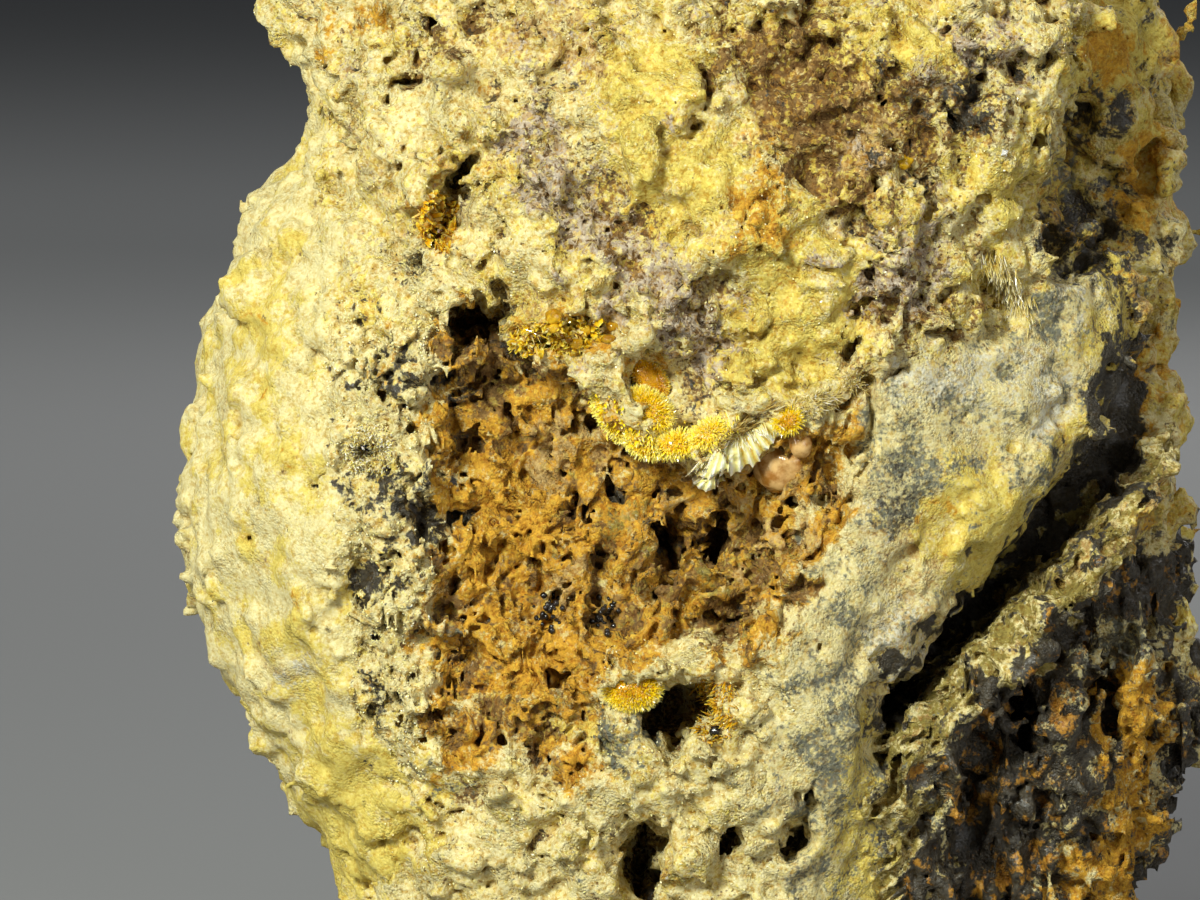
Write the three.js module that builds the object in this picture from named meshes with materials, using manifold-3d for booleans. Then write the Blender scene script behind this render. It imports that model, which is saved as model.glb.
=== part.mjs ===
// A kapundaite specimen: an upright lump of porous ironstone under a yellow phosphate crust, with
// golden fibrous crystal clusters seated in its hollows. Millimetres, +Z up, the face with the
// crystals towards -Y, the origin under the middle of the lump on the flat broken base.
import * as THREE from "three";
import { mergeVertices } from "three/addons/utils/BufferGeometryUtils.js";
import { ImprovedNoise } from "three/addons/math/ImprovedNoise.js";
import Module from "manifold-3d";

// ---- driving dimensions ----------------------------------------------------------------------
const MID_HEIGHT = 28; // height of the point that every outline is measured around
const BASE_CUT = 12; // how deep the block is that trims the base flat, below z = 0
const SEAT_GAP = 0.3; // clearance between a crystal cluster and its pocket

const FRONT_MASS = { middle: -3, forward: 14.6, backward: 14, detail: 9, grain: 0.75 };
const REAR_MASS = { middle: 5, forward: 9.5, backward: 14.4, detail: 7, grain: 0.9 };
const LEDGE_RECESS = { middle: -19.5, forward: 4, backward: 5.4, detail: 3, grain: 0.5 };
const LOWER_RECESS = { middle: -18, forward: 4, backward: 3, detail: 2, grain: 0.4 };

// How boxy an inflated outline is: 1 is an ellipsoid, and smaller is flatter with steeper sides.
const ROUND_FLANK = 0.78;
const STEEP_FLANK = 0.42;

// ---- outlines seen from the front, as [x, z], going clockwise from the lower left ---------------
const FRONT_OUTLINE = [
  [-14.2, -4], [-17.6, 6.8], [-20, 10], [-21.8, 13.4], [-24.3, 17.9], [-25.7, 22.3], [-25.6, 28],
  [-24.8, 33.1], [-23.4, 37.7], [-22.1, 41.5], [-19.6, 43.9], [-19.1, 46.4], [-19.6, 49.4],
  [-19.9, 52.5], [-18.3, 55.6], [-14.2, 58.6], [-7.6, 61.3], [2.1, 62.3], [10.8, 61.1],
  [17.5, 57.8], [20.4, 53], [20.2, 49.4], [18.8, 45.9], [17.6, 42.3], [19.7, 39.8], [22.5, 37.6],
  [22.7, 33.1], [20.9, 30.2], [19.4, 27.9], [16.8, 24.9], [13.8, 20.7], [10.9, 17.1], [9.5, 14.3],
  [10.9, 11.6], [10.7, 8], [9.3, 3.4], [7.3, -4],
];
const REAR_OUTLINE = [
  [-12.3, -4], [-17.5, 7.1], [-21.7, 14.4], [-23.3, 21.7], [-23.3, 30], [-20.7, 38.4],
  [-17.5, 44.6], [-17, 50.9], [-12.8, 57.1], [-4, 60.6], [6.4, 61.3], [16.9, 59.8], [22.5, 56.5],
  [24.5, 53], [25.6, 49.8], [25.4, 47.5], [23.9, 45.1], [25.4, 42.5], [25.7, 37.3], [24.9, 32.1],
  [25.2, 27.9], [25.7, 24.2], [26.4, 22.3], [26.4, 19.6], [25.9, 16.9], [26.3, 13.3], [26, 9.7],
  [24.2, 7.3], [23.3, 2.9], [21.6, -4],
];
const LEDGE_RECESS_OUTLINE = [
  [-12.3, 19.2], [-13, 23], [-12.6, 27], [-13.1, 31], [-13, 34.6], [-10.8, 36.6], [-8.7, 34.2],
  [-6.6, 32.9], [-4.2, 31.6], [-1.8, 30.2], [0.7, 28.5], [3.2, 30.1], [6, 31.6], [8.5, 32],
  [8.5, 28.4], [6.2, 24.6], [4.5, 22], [3.6, 20], [-1, 19.2], [-7, 19.4],
];
const LOWER_RECESS_OUTLINE = [
  [-13, 14.6], [-13, 19.4], [-9, 20.4], [-5, 19.6], [-4.4, 16], [-6.4, 13.8],
];
const FISSURE_OUTLINE = [
  [20.4, 41.6], [20.8, 39.4], [22.6, 37], [22.5, 33], [20.8, 30], [19, 27.4], [16.4, 24.5],
  [13.5, 20.5], [10.8, 17.1], [9, 13.8], [10.5, 14.3], [12.7, 17.2], [15.6, 20.1], [18.8, 23.2],
  [21.6, 26.4], [23, 29.6], [23.5, 33.4], [23.5, 37.6], [22.4, 40.8], [21.6, 42.2],
];
const FISSURE_FRONT = -24;
const FISSURE_FLOOR = -2.5;

// The layered rind beyond the fissure: the line of its outer edge, from the upper right to the
// foot, as [x, y, z].
const RIND_ROUTE = [
  [23.6, -1, 30.2], [22.6, -4.6, 26.8], [20, -8, 23.6], [16.9, -10.4, 20.6], [13.8, -11.8, 17.4],
  [12, -12.2, 13.6], [11.4, -11.2, 9.6], [11.6, -9, 4.6], [11.8, -8, -2],
];
const RIND_HALF_WIDTH = 1.1;
const RIND_DEPTH = 13;
const RIND_BEVEL = { bevelEnabled: true, bevelThickness: 1.1, bevelSize: 0.7, bevelSegments: 2 };

// ---- broad relief of the two masses: [x, z, radius along x, radius along z, height outwards] -----
const FRONT_RELIEF = [
  [-2, 43, 15, 10, 2.6], // overhanging upper ledge
  [-15.5, 29, 4, 7, 1.6], // wall left of the recess
  [-8, 46, 4, 7, 0.7],
  [4.5, 43, 3, 6, -0.8], // smooth trough down the ledge
  [11, 43, 4, 7, 0.8],
  [12, 31, 7, 6, 0.8], // pale slab
  [2, 17.5, 5, 2.5, 0.9], // brow over the lower cavity
  [-8, 9, 7, 4, 1.1],
];
const REAR_RELIEF = [
  [18.5, 16, 8, 10, 7], // dark lobe
  [22, 50, 4.5, 5, 5.5], // upper right lobe
  [24, 35, 2.6, 6, 3.4], // outer right band
  [19.8, 41.5, 2.6, 3, -2.4], // hollow behind the slab
];
const SLAB_START = 4; // right of this x, and below the ledge, the front mass leans back
const SLAB_LEAN = 0.3;
const FOOT_START = 17; // below this height the front mass leans back as well
const FOOT_LEAN = 0.26;

// ---- lumps that stand out: [x, y, z, radius x, radius y, radius z, tilt in degrees] --------------
const KNOBS = [
  [-19.2, -6.5, 50.9, 2.4, 2.8, 1.7, 10], // on the upper left edge
  [-23.4, -1, 31, 1.8, 6, 6, 0], // on the left flank
];

// ---- open vugs: [x, z, radius x, radius z, depth below the surface, tilt in degrees] -------------
const VUGS = [
  [-10.9, 35.9, 1.8, 1.2, 4.2, -10], // under the left end of the ledge
  [-8.7, 34, 0.7, 1.5, 2.6, 50],
  [1.45, 24.7, 0.8, 1.7, 3.4, -12],
  [-1.2, 24.6, 0.9, 1.9, 3, 20],
  [-0.8, 16.1, 2.5, 1.7, 4.6, 20], // lower cavity
  [-2.4, 8.4, 1.3, 2.7, 4.6, 6],
  [2, 9.6, 0.8, 1.2, 2.6, 0],
  [5.2, 9.8, 0.9, 1.4, 3, -25],
  [-11.3, 43.4, 0.8, 1.4, 2.8, -35],
  [-13.5, 26.4, 0.7, 2.2, 2.2, -12],
  [17.1, 15.2, 0.9, 2.5, 3.4, -8],
  [21.9, 16.4, 0.9, 2, 2.6, -10],
  [18.2, 39.6, 1.6, 2.2, 4.4, 20],
];

// ---- crystal clusters: seat [x, z], radii [x, y, z], how far the middle is sunk, tilt in degrees --
const CLUSTERS = [
  { name: "golden_druse", seat: [-6.4, 35.3], radii: [2.5, 1.2, 1.05], sink: 0.4, tilt: 9 },
  { name: "amber_pocket", seat: [-2, 33.2], radii: [1, 1.2, 1.1], sink: 0.6, tilt: 25 },
  { name: "silky_curtain", seat: [-1.9, 30.3], radii: [2.6, 1.1, 1], sink: 0, tilt: 6 },
  { name: "fibre_fan", seat: [1.8, 28.5], radii: [1.5, 1.1, 0.9], sink: 0, tilt: 20 },
  { name: "vein_needles", seat: [8.3, 33.1], radii: [1, 0.8, 0.6], sink: 0.1, tilt: 20 },
  { name: "hanging_brush", seat: [15.8, 37], radii: [0.9, 1, 1.7], sink: 0.1, tilt: -12 },
  { name: "upper_left_lining", seat: [-12.6, 40.7], radii: [0.8, 0.9, 1.2], sink: 0.2, tilt: -30 },
  { name: "orange_tuft", seat: [-3, 17.6], radii: [1.5, 1.2, 0.95], sink: 0, tilt: 6 },
  { name: "cavity_crystals", seat: [1.5, 16.4], radii: [0.8, 1, 1.2], sink: 0.3, tilt: -10 },
  { name: "left_cup", seat: [-16, 29.6], radii: [1.3, 1, 1.5], sink: 0.3, tilt: -8 },
  { name: "glassy_bulb", seat: [4.8, 28.7], radii: [1.3, 1.3, 1.3], sink: 0.1, tilt: 0 },
  { name: "black_beads_left", seat: [-7.1, 21.2], radii: [0.8, 0.7, 0.7], sink: 0.1, tilt: 0 },
  { name: "black_beads_right", seat: [-4.3, 21], radii: [0.7, 0.7, 0.8], sink: 0.1, tilt: 0 },
  { name: "yellow_bead", seat: [10.8, 43.9], radii: [0.55, 0.55, 0.5], sink: 0.05, tilt: 0 },
  { name: "white_grain", seat: [15.6, 44.2], radii: [0.45, 0.45, 0.35], sink: 0.05, tilt: 25 },
];

// ---- materials -----------------------------------------------------------------------------------
const finish = (color, roughness) =>
  new THREE.MeshStandardMaterial({ color, roughness, metalness: 0 });
const ROCK = finish(0xc9ad5c, 0.9);
const GOLD_FIBRE = finish(0xe3b62c, 0.4);
const PALE_FIBRE = finish(0xeedf94, 0.45);
const GLASSY = finish(0x9a6a36, 0.2);
const BLACK_OXIDE = finish(0x17161a, 0.35);
const WHITE_CRYSTAL = finish(0xe9e4d6, 0.3);
const CLUSTER_FINISH = {
  fibre_fan: PALE_FIBRE,
  vein_needles: PALE_FIBRE,
  left_cup: PALE_FIBRE,
  glassy_bulb: GLASSY,
  black_beads_left: BLACK_OXIDE,
  black_beads_right: BLACK_OXIDE,
  white_grain: WHITE_CRYSTAL,
};

// ---- shape tools ---------------------------------------------------------------------------------
const wasm = await Module();
wasm.setup();
const perlin = new ImprovedNoise();

// Two octaves of noise, about -1 to 1, with the broad one `wavelength` millimetres long.
function roughness(p, wavelength) {
  const fineWave = wavelength / 2.3;
  const broad = perlin.noise(p.x / wavelength + 7.3, p.y / wavelength + 1.9, p.z / wavelength);
  const fine = perlin.noise(p.x / fineWave, p.y / fineWave + 5.1, p.z / fineWave);
  return broad + 0.5 * fine;
}

// A function from polar angle to radius for a closed outline around [centreX, centreZ].
function polarOutline(points, centreX, centreZ) {
  const loop = points.map(([x, z]) => new THREE.Vector3(x - centreX, 0, z - centreZ));
  const spline = new THREE.CatmullRomCurve3(loop, true, "centripetal");
  const samples = spline.getPoints(points.length * 12).slice(0, -1);
  const polar = samples.map((p) => [Math.atan2(p.z, p.x), Math.hypot(p.x, p.z)]);
  polar.sort((a, b) => a[0] - b[0]);
  const [first, last] = [polar[0], polar[polar.length - 1]];
  polar.unshift([last[0] - 2 * Math.PI, last[1]]);
  polar.push([first[0] + 2 * Math.PI, first[1]]);
  return (angle) => {
    const next = polar.findIndex(([a]) => a > angle);
    const [a0, r0] = polar[next - 1];
    const [a1, r1] = polar[next];
    return THREE.MathUtils.mapLinear(angle, a0, a1, r0, r1);
  };
}

// The height that a list of broad mounds and dents adds at [x, z].
function mounds(list, x, z) {
  const one = ([middleX, middleZ, radiusX, radiusZ, height]) =>
    height * Math.exp(-(((x - middleX) / radiusX) ** 2 + ((z - middleZ) / radiusZ) ** 2));
  return list.reduce((sum, mound) => sum + one(mound), 0);
}

// A closed geometry's vertices moved one by one; `move` changes the point that it is given.
function reshaped(geometry, move) {
  const bare = geometry.clone();
  bare.deleteAttribute("normal");
  bare.deleteAttribute("uv");
  const merged = mergeVertices(bare, 1e-4);
  const place = merged.getAttribute("position");
  const point = new THREE.Vector3();
  for (let i = 0; i < place.count; i++) {
    move(point.fromBufferAttribute(place, i));
    place.setXYZ(i, point.x, point.y, point.z);
  }
  return merged;
}

function solidOf(geometry) {
  const { array } = geometry.getAttribute("position");
  const mesh = { numProp: 3, vertProperties: array, triVerts: new Uint32Array(geometry.index.array) };
  return new wasm.Manifold(new wasm.Mesh(mesh));
}

function geometryOf(solid) {
  const { vertProperties, triVerts } = solid.getMesh();
  const geometry = new THREE.BufferGeometry();
  geometry.setAttribute("position", new THREE.BufferAttribute(vertProperties, 3));
  return geometry.setIndex(new THREE.BufferAttribute(triVerts, 1));
}

// An outline inflated into a lump: a ball whose rim follows the outline, and whose two faces stand
// `forward` and `backward` from the rim's plane. `lift` adds relief to the forward face.
function inflated(outline, centre, mass, lift, squareness) {
  const [centreX, centreZ] = centre;
  const radiusAt = polarOutline(outline, centreX, centreZ);
  const ball = new THREE.IcosahedronGeometry(1, mass.detail);
  return reshaped(ball, (p) => {
    const angle = Math.atan2(p.z, p.x);
    const power = squareness(angle);
    const spread = Math.hypot(p.x, p.z) ** power * radiusAt(angle);
    const rise = Math.abs(p.y) ** power;
    const facing = p.y < 0;
    const x = centreX + spread * Math.cos(angle);
    const z = centreZ + spread * Math.sin(angle);
    const depth = facing ? -(mass.forward + lift(x, z)) : mass.backward;
    p.set(x, mass.middle + depth * rise, z);
    const bump = mass.grain * roughness(p, 5.5);
    p.y += (facing ? -bump : bump) * (0.3 + 0.7 * rise);
    p.x += bump * (1 - rise) * Math.cos(angle);
    p.z += bump * (1 - rise) * Math.sin(angle);
  });
}

// A rough ellipsoid with the given radii, tilted in the front view, with its middle at `place`.
function lump(place, radii, tilt, detail, grain = 0.12) {
  const turn = new THREE.Euler(0, THREE.MathUtils.degToRad(-tilt), 0);
  const ball = new THREE.IcosahedronGeometry(1, detail);
  return reshaped(ball, (p) => {
    const seed = p.clone().multiplyScalar(2.1).add(place);
    p.multiplyScalar(1 + grain * roughness(seed, 1.7));
    p.multiply(radii).applyEuler(turn).add(place);
  });
}

const fromArray = (a) => new THREE.Vector3(...a);
const rightSide = (angle) => THREE.MathUtils.smoothstep(Math.cos(angle), -0.2, 0.5);
const flankPower = (angle) => THREE.MathUtils.lerp(ROUND_FLANK, STEEP_FLANK, rightSide(angle));

// ---- the rock ------------------------------------------------------------------------------------
function frontMass() {
  const lean = (x, z) => {
    const slab = SLAB_LEAN * Math.max(0, x - SLAB_START) * THREE.MathUtils.smoothstep(44 - z, 0, 8);
    return slab + FOOT_LEAN * Math.max(0, FOOT_START - z);
  };
  const lift = (x, z) => mounds(FRONT_RELIEF, x, z) - lean(x, z);
  return solidOf(inflated(FRONT_OUTLINE, [0, MID_HEIGHT], FRONT_MASS, lift, flankPower));
}

function rearMass() {
  const lift = (x, z) => mounds(REAR_RELIEF, x, z);
  return solidOf(inflated(REAR_OUTLINE, [0, MID_HEIGHT], REAR_MASS, lift, () => 0.7));
}

// The rind as a bevelled ribbon that is drawn in the front view and follows its route in depth.
function rind() {
  const route = new THREE.CatmullRomCurve3(RIND_ROUTE.map(fromArray)).getPoints(16);
  const edge = (side) =>
    route.map((p, i) => {
      const ahead = route[Math.min(i + 1, route.length - 1)].clone();
      const along = ahead.sub(route[Math.max(i - 1, 0)]).setY(0).setLength(side * RIND_HALF_WIDTH);
      return new THREE.Vector2(p.x - along.z, p.z + along.x);
    });
  const ribbon = new THREE.Shape([...edge(1), ...edge(-1).reverse()]);
  const frontAt = (z) => route.find((p) => p.z <= z + 0.01)?.y ?? route[route.length - 1].y;
  const slab = new THREE.ExtrudeGeometry(ribbon, { depth: RIND_DEPTH, steps: 3, ...RIND_BEVEL });
  slab.rotateX(Math.PI / 2);
  return solidOf(
    reshaped(slab, (p) => {
      p.y += RIND_DEPTH + frontAt(p.z);
      p.addScalar(0.3 * roughness(p, 3.5));
    }),
  );
}

function recess(outline, centre, mass) {
  return solidOf(inflated(outline, centre, mass, () => 0, () => 0.45));
}

function fissure() {
  const outline = FISSURE_OUTLINE.map(([x, z]) => new THREE.Vector2(x, z));
  const shape = new THREE.Shape(new THREE.SplineCurve([...outline, outline[0]]).getPoints(48));
  const slit = new THREE.ExtrudeGeometry(shape, {
    depth: FISSURE_FLOOR - FISSURE_FRONT,
    steps: 5,
    bevelEnabled: false,
  });
  // The shape is drawn in XY and extruded along Z; turned up, it runs from the floor to the front.
  slit.rotateX(Math.PI / 2).translate(0, FISSURE_FLOOR, 0);
  return solidOf(reshaped(slit, (p) => p.setX(p.x + 0.3 * roughness(p, 4))));
}

// The depth of the rock's surface at [x, z], looking along +Y.
function surfaceFinder(solid) {
  const rock = new THREE.Mesh(geometryOf(solid), new THREE.MeshBasicMaterial({ side: THREE.DoubleSide }));
  const ray = new THREE.Raycaster();
  return (x, z) => {
    ray.set(new THREE.Vector3(x, -60, z), new THREE.Vector3(0, 1, 0));
    return ray.intersectObject(rock)[0].point.y;
  };
}

function baseBlock() {
  const block = new THREE.BoxGeometry(90, 90, BASE_CUT).translate(0, 0, -BASE_CUT / 2);
  return solidOf(reshaped(block, () => {}));
}

const join = (solids) => solids.reduce((whole, piece) => whole.add(piece));
const cut = (whole, pieces) => pieces.reduce((left, piece) => left.subtract(piece), whole);

function rock() {
  const lumps = KNOBS.map(([x, y, z, rx, ry, rz, tilt]) =>
    solidOf(lump(new THREE.Vector3(x, y, z), new THREE.Vector3(rx, ry, rz), tilt, 2)),
  );
  const opened = cut(join([frontMass(), rearMass(), rind(), ...lumps]), [
    recess(LEDGE_RECESS_OUTLINE, [-3, 25], LEDGE_RECESS),
    recess(LOWER_RECESS_OUTLINE, [-9, 17], LOWER_RECESS),
    fissure(),
    baseBlock(),
  ]);
  const surfaceAt = surfaceFinder(opened);
  const vugs = VUGS.map(([x, z, rx, rz, depth, tilt]) => {
    const middle = new THREE.Vector3(x, surfaceAt(x, z), z);
    return solidOf(lump(middle, new THREE.Vector3(rx, depth, rz), tilt, 1));
  });
  return cut(opened, vugs);
}

// ---- the crystals --------------------------------------------------------------------------------
// A cluster's lump, or with `extra` clearance the pocket that it sits in.
function clusterSolid({ seat, radii, sink, tilt }, surfaceAt, extra) {
  const [x, z] = seat;
  const middle = new THREE.Vector3(x, surfaceAt(x, z) + sink, z);
  const detail = Math.max(...radii) > 1.2 ? 2 : 1;
  return solidOf(lump(middle, fromArray(radii).addScalar(extra), tilt, detail, 0.1));
}

function specimen() {
  const group = new THREE.Group();
  const bare = rock();
  const surfaceAt = surfaceFinder(bare);
  const pockets = CLUSTERS.map((cluster) => clusterSolid(cluster, surfaceAt, SEAT_GAP));
  const place = (name, solid, material) => {
    const mesh = new THREE.Mesh(geometryOf(solid), material);
    mesh.name = name;
    group.add(mesh);
  };
  place("ironstone_matrix", cut(bare, pockets), ROCK);
  for (const cluster of CLUSTERS) {
    place(cluster.name, clusterSolid(cluster, surfaceAt, 0), CLUSTER_FINISH[cluster.name] ?? GOLD_FIBRE);
  }
  return group;
}

export default specimen();
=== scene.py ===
"""The looks of the kapundaite specimen: sculpted rock, crystal fibres, materials, light, camera."""
import math

import bmesh
import bpy
import numpy as np
import openvdb as vdb
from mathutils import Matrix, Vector
from mathutils.bvhtree import BVHTree


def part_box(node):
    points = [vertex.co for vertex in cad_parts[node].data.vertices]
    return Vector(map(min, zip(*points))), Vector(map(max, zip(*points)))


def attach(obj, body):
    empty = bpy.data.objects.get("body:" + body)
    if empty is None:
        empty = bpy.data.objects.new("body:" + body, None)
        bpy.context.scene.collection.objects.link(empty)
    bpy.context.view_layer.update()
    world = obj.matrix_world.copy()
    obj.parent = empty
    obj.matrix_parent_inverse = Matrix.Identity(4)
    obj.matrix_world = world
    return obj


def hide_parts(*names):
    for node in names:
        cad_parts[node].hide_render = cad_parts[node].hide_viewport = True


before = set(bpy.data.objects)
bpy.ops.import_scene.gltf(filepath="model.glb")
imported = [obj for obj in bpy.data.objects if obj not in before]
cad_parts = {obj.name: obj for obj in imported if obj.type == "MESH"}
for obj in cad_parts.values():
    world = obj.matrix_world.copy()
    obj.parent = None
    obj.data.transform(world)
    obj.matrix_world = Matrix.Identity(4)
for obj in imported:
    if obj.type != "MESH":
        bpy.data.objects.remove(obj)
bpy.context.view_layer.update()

MM = 0.001
ROCK = "ironstone_matrix"

# ================================================================ where things are, in mm (x, z)
# The borders that two regions share.
CRUST_OVER_RECESS = [
    (-12.5, 37), (-10.5, 37), (-8.8, 34.5), (-6.5, 34), (-4.5, 32), (-2.5, 29.8), (0.5, 27.8),
    (3, 29.2), (5.5, 30.8), (8, 32.8),
]
CRUST_OVER_SLAB = [(10.8, 35.2), (13.5, 35.2), (15.5, 35.2), (17.5, 37.5)]
CRUST_BY_REAR = [(16.5, 42), (18, 43), (18, 45.5), (19.8, 49), (19.5, 52), (19.8, 55)]
WALL_BY_RECESS = [(-12.8, 34), (-12.5, 32), (-13, 29), (-12.5, 26), (-12.7, 23), (-13.5, 20), (-13.2, 17)]
RECESS_BY_SLAB = [(8.6, 31), (8, 27.5), (5.5, 23), (4.5, 20)]
RECESS_OVER_LOWER = [(1.5, 19.5), (-2.5, 19.5), (-4.5, 19), (-4.8, 13.5), (-9.5, 13.5), (-13, 13.8)]
LOWER_BY_SLAB = [(4, 16), (4.2, 12), (4.6, -3)]
SLAB_BY_REAR = [(9.8, -3), (9.5, 9), (9, 15), (10.5, 17.5), (13.8, 21), (16.8, 24), (19.6, 28.3)]

REGIONS = {
    "crust": [
        (-22.6, 55), (-22.4, 51), (-20.8, 49), (-18.8, 48.4), (-18.6, 44.5), (-18.9, 43.2),
        (-18.4, 40), (-18, 36.5), (-14.5, 37), *CRUST_OVER_RECESS, (9.5, 33.5), *CRUST_OVER_SLAB,
        *CRUST_BY_REAR,
    ],
    "wall": [
        (-18, 36.5), (-14.5, 37), (-12.5, 37), *WALL_BY_RECESS, (-13, 13.8), (-14.5, 12),
        (-16.5, 16), (-17.5, 21.5), (-18.2, 27.5), (-18.4, 32),
    ],
    "recess": [*CRUST_OVER_RECESS, *RECESS_BY_SLAB, *RECESS_OVER_LOWER, *WALL_BY_RECESS[::-1]],
    "slab": [
        (9.5, 33.5), (8, 32.8), *RECESS_BY_SLAB, *LOWER_BY_SLAB, *SLAB_BY_REAR, (19.5, 30),
        (22.2, 33), (22, 37.5), (19.2, 39.5), *CRUST_OVER_SLAB[::-1],
    ],
    "lower": [
        *RECESS_OVER_LOWER[::-1], (4.5, 20), *LOWER_BY_SLAB, (-15, -3), (-15.5, 5.5), (-14.5, 12),
    ],
    "rear": [
        *CRUST_BY_REAR[::-1], (19.2, 39.5), (22, 37.5), (22.2, 33), (19.7, 30),
        *SLAB_BY_REAR[::-1], (28.5, -3), (28.5, 55),
    ],
    "lobe": [
        (28.5, 24), (25, 24), (21, 22.5), (17.5, 19.5), (13.5, 16), (11.8, 12.5), (10.8, 9),
        (10.6, -3), (28.5, -3),
    ],
    "rind": [
        (24.5, 30.5), (21.5, 27), (18.5, 24), (15.5, 21.5), (12, 18), (10, 15), (9, 12), (9.5, 7),
        (9.4, -3), (10.8, -3), (11.8, 8), (12.2, 12.5), (14, 16.5), (18, 20), (21, 23), (24, 25.5),
        (25.5, 28.5),
    ],
    "flank": [
        (-22.8, 56), (-22.6, 51), (-20.9, 48.9), (-18.6, 48.3), (-18.4, 44.5), (-18.6, 43.2),
        (-18.2, 40), (-17.9, 36.5), (-18.3, 32), (-18.1, 27.5), (-17.4, 21.5), (-16.4, 16),
        (-14.4, 12), (-15.5, 5.5), (-15, -3), (-34.5, -3), (-34.5, 56),
    ],
}
# A hollow with a sharp edge that the yellow crust overhangs.
HOLLOW = [
    (1.5, 49), (2.7, 47), (3.6, 45.3), (5, 43.6), (5.6, 41.6), (7.2, 42.4), (9.4, 42.6), (10.4, 44.2),
    (9.4, 46.4), (8.6, 48.6), (7, 51), (2.6, 51.5),
]
# The seam between the recess and the slab, and the fissure between the slab and the rear.
SEAM = [(9, 33), (9, 31.6), (8.8, 29.2), (8.1, 27), (6.6, 24.6), (5.3, 23), (4.6, 21), (4.4, 19.4)]
FISSURE = [(22.3, 32), (21.6, 28.5), (18.4, 24.5), (15.7, 21.9), (12.6, 19.9), (11.2, 18.1), (9.7, 15.6)]

# ================================================================ noise, on periodic blocks
BLOCK = 96  # samples along each side of a periodic noise block
PER_WAVE = 8  # samples to a wavelength, or to a cell


def turn_matrices(count, seed):
    """Random rotations, so that no two layers of noise line up."""
    rng = np.random.default_rng(seed)
    turns = []
    for _ in range(count):
        q, r = np.linalg.qr(rng.standard_normal((3, 3)))
        turns.append((q * np.sign(np.diag(r))).astype(np.float32))
    return turns


def smooth_block(seed):
    """Noise with no lattice to it, one wavelength to every PER_WAVE samples, with a spread of 1."""
    white = np.random.default_rng(seed).standard_normal((BLOCK,) * 3)
    f = np.fft.fftfreq(BLOCK)
    k = np.sqrt(f[:, None, None] ** 2 + f[None, :, None] ** 2 + f[None, None, :] ** 2)
    band = np.exp(-(((k * PER_WAVE - 1) / 0.4) ** 2))
    values = np.fft.ifftn(np.fft.fftn(white) * band).real
    return (values / values.std()).astype(np.float32)


def cell_blocks(seed):
    """Distance to the nearest cell middle, the wall measure F2 - F1, and a number for each cell."""
    cells = BLOCK // PER_WAVE
    rng = np.random.default_rng(seed)
    middle = rng.random((cells, cells, cells, 3), dtype=np.float32)
    label = rng.random((cells, cells, cells), dtype=np.float32)
    axis = (np.arange(BLOCK, dtype=np.float32) + 0.5) / PER_WAVE
    p = np.stack(np.meshgrid(axis, axis, axis, indexing="ij"), -1)
    home = np.floor(p).astype(int)
    near = np.full(p.shape[:3], 9.0, np.float32)
    second = near.copy()
    value = np.zeros_like(near)
    for shift in np.ndindex(3, 3, 3):
        cell = home + np.array(shift) - 1
        i, j, k = (cell % cells)[..., 0], (cell % cells)[..., 1], (cell % cells)[..., 2]
        d = np.sqrt(((cell + middle[i, j, k] - p) ** 2).sum(-1))
        closer = d < near
        second = np.where(closer, near, np.minimum(second, d))
        value = np.where(closer, label[i, j, k], value)
        near = np.where(closer, d, near)
    return near, second - near, value


def lookup(block, q, wrap=True):
    """A block's value at points q, which count in its samples, blended between the eight nearest."""
    low = np.floor(q)
    f = (q - low).astype(np.float32)
    low = low.astype(np.int32)
    n = block.shape
    flat = block.ravel()
    index = []
    for axis in range(3):
        if wrap:
            a = low[:, axis] % n[axis]
            b = (low[:, axis] + 1) % n[axis]
        else:
            a = np.clip(low[:, axis], 0, n[axis] - 1)
            b = np.clip(low[:, axis] + 1, 0, n[axis] - 1)
        stride = int(np.prod(n[axis + 1:], dtype=np.int64))
        index.append((a * stride, b * stride))
    total = np.zeros(len(q), np.float32)
    for i, j, k in np.ndindex(2, 2, 2):
        weight = (f[:, 0] if i else 1 - f[:, 0]) * (f[:, 1] if j else 1 - f[:, 1])
        weight *= f[:, 2] if k else 1 - f[:, 2]
        total += weight * flat.take(index[0][i] + index[1][j] + index[2][k])
    return total


SMOOTH = smooth_block(5)
CELL_NEAR, CELL_WALL, CELL_VALUE = cell_blocks(6)
TURNS = turn_matrices(24, 7)


def layer_coords(p, wavelength, layer, stretch):
    """Points p in a block's samples. Every layer has its own turn and place in the block."""
    q = p / (np.float32(wavelength) * np.array(stretch, np.float32))
    return (q @ TURNS[layer % len(TURNS)] + np.float32(3.7 * layer)) * PER_WAVE


def noise(p, wavelength, layer, stretch=(1, 1, 1)):
    """Smooth noise at points p, mostly between -2 and 2. stretch lengthens it along x, y and z."""
    return lookup(SMOOTH, layer_coords(p, wavelength, layer, stretch))


def cells(p, size, layer, stretch=(1, 1, 1)):
    """(distance to the cell's middle, distance to its wall, its own number), in cells."""
    q = layer_coords(p, size, layer, stretch)
    nearest = np.round(q).astype(np.int32) % BLOCK
    value = CELL_VALUE[nearest[:, 0], nearest[:, 1], nearest[:, 2]]
    return lookup(CELL_NEAR, q), lookup(CELL_WALL, q), value


def bent(p, amount, wavelength, layers):
    """Points p, pushed about along x, y and z by one layer of noise each."""
    return p + amount * np.stack([noise(p, wavelength, layer) for layer in layers], 1)


def smoothstep(low, high, x):
    """0 to 1 as x goes from low to high, with both ends eased."""
    t = np.clip((x - low) / (high - low), 0, 1)
    return t * t * (3 - 2 * t)


def turned(x, z, degrees):
    """x and z turned about the Y axis."""
    angle = math.radians(degrees)
    return x * math.cos(angle) - z * math.sin(angle), x * math.sin(angle) + z * math.cos(angle)


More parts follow.
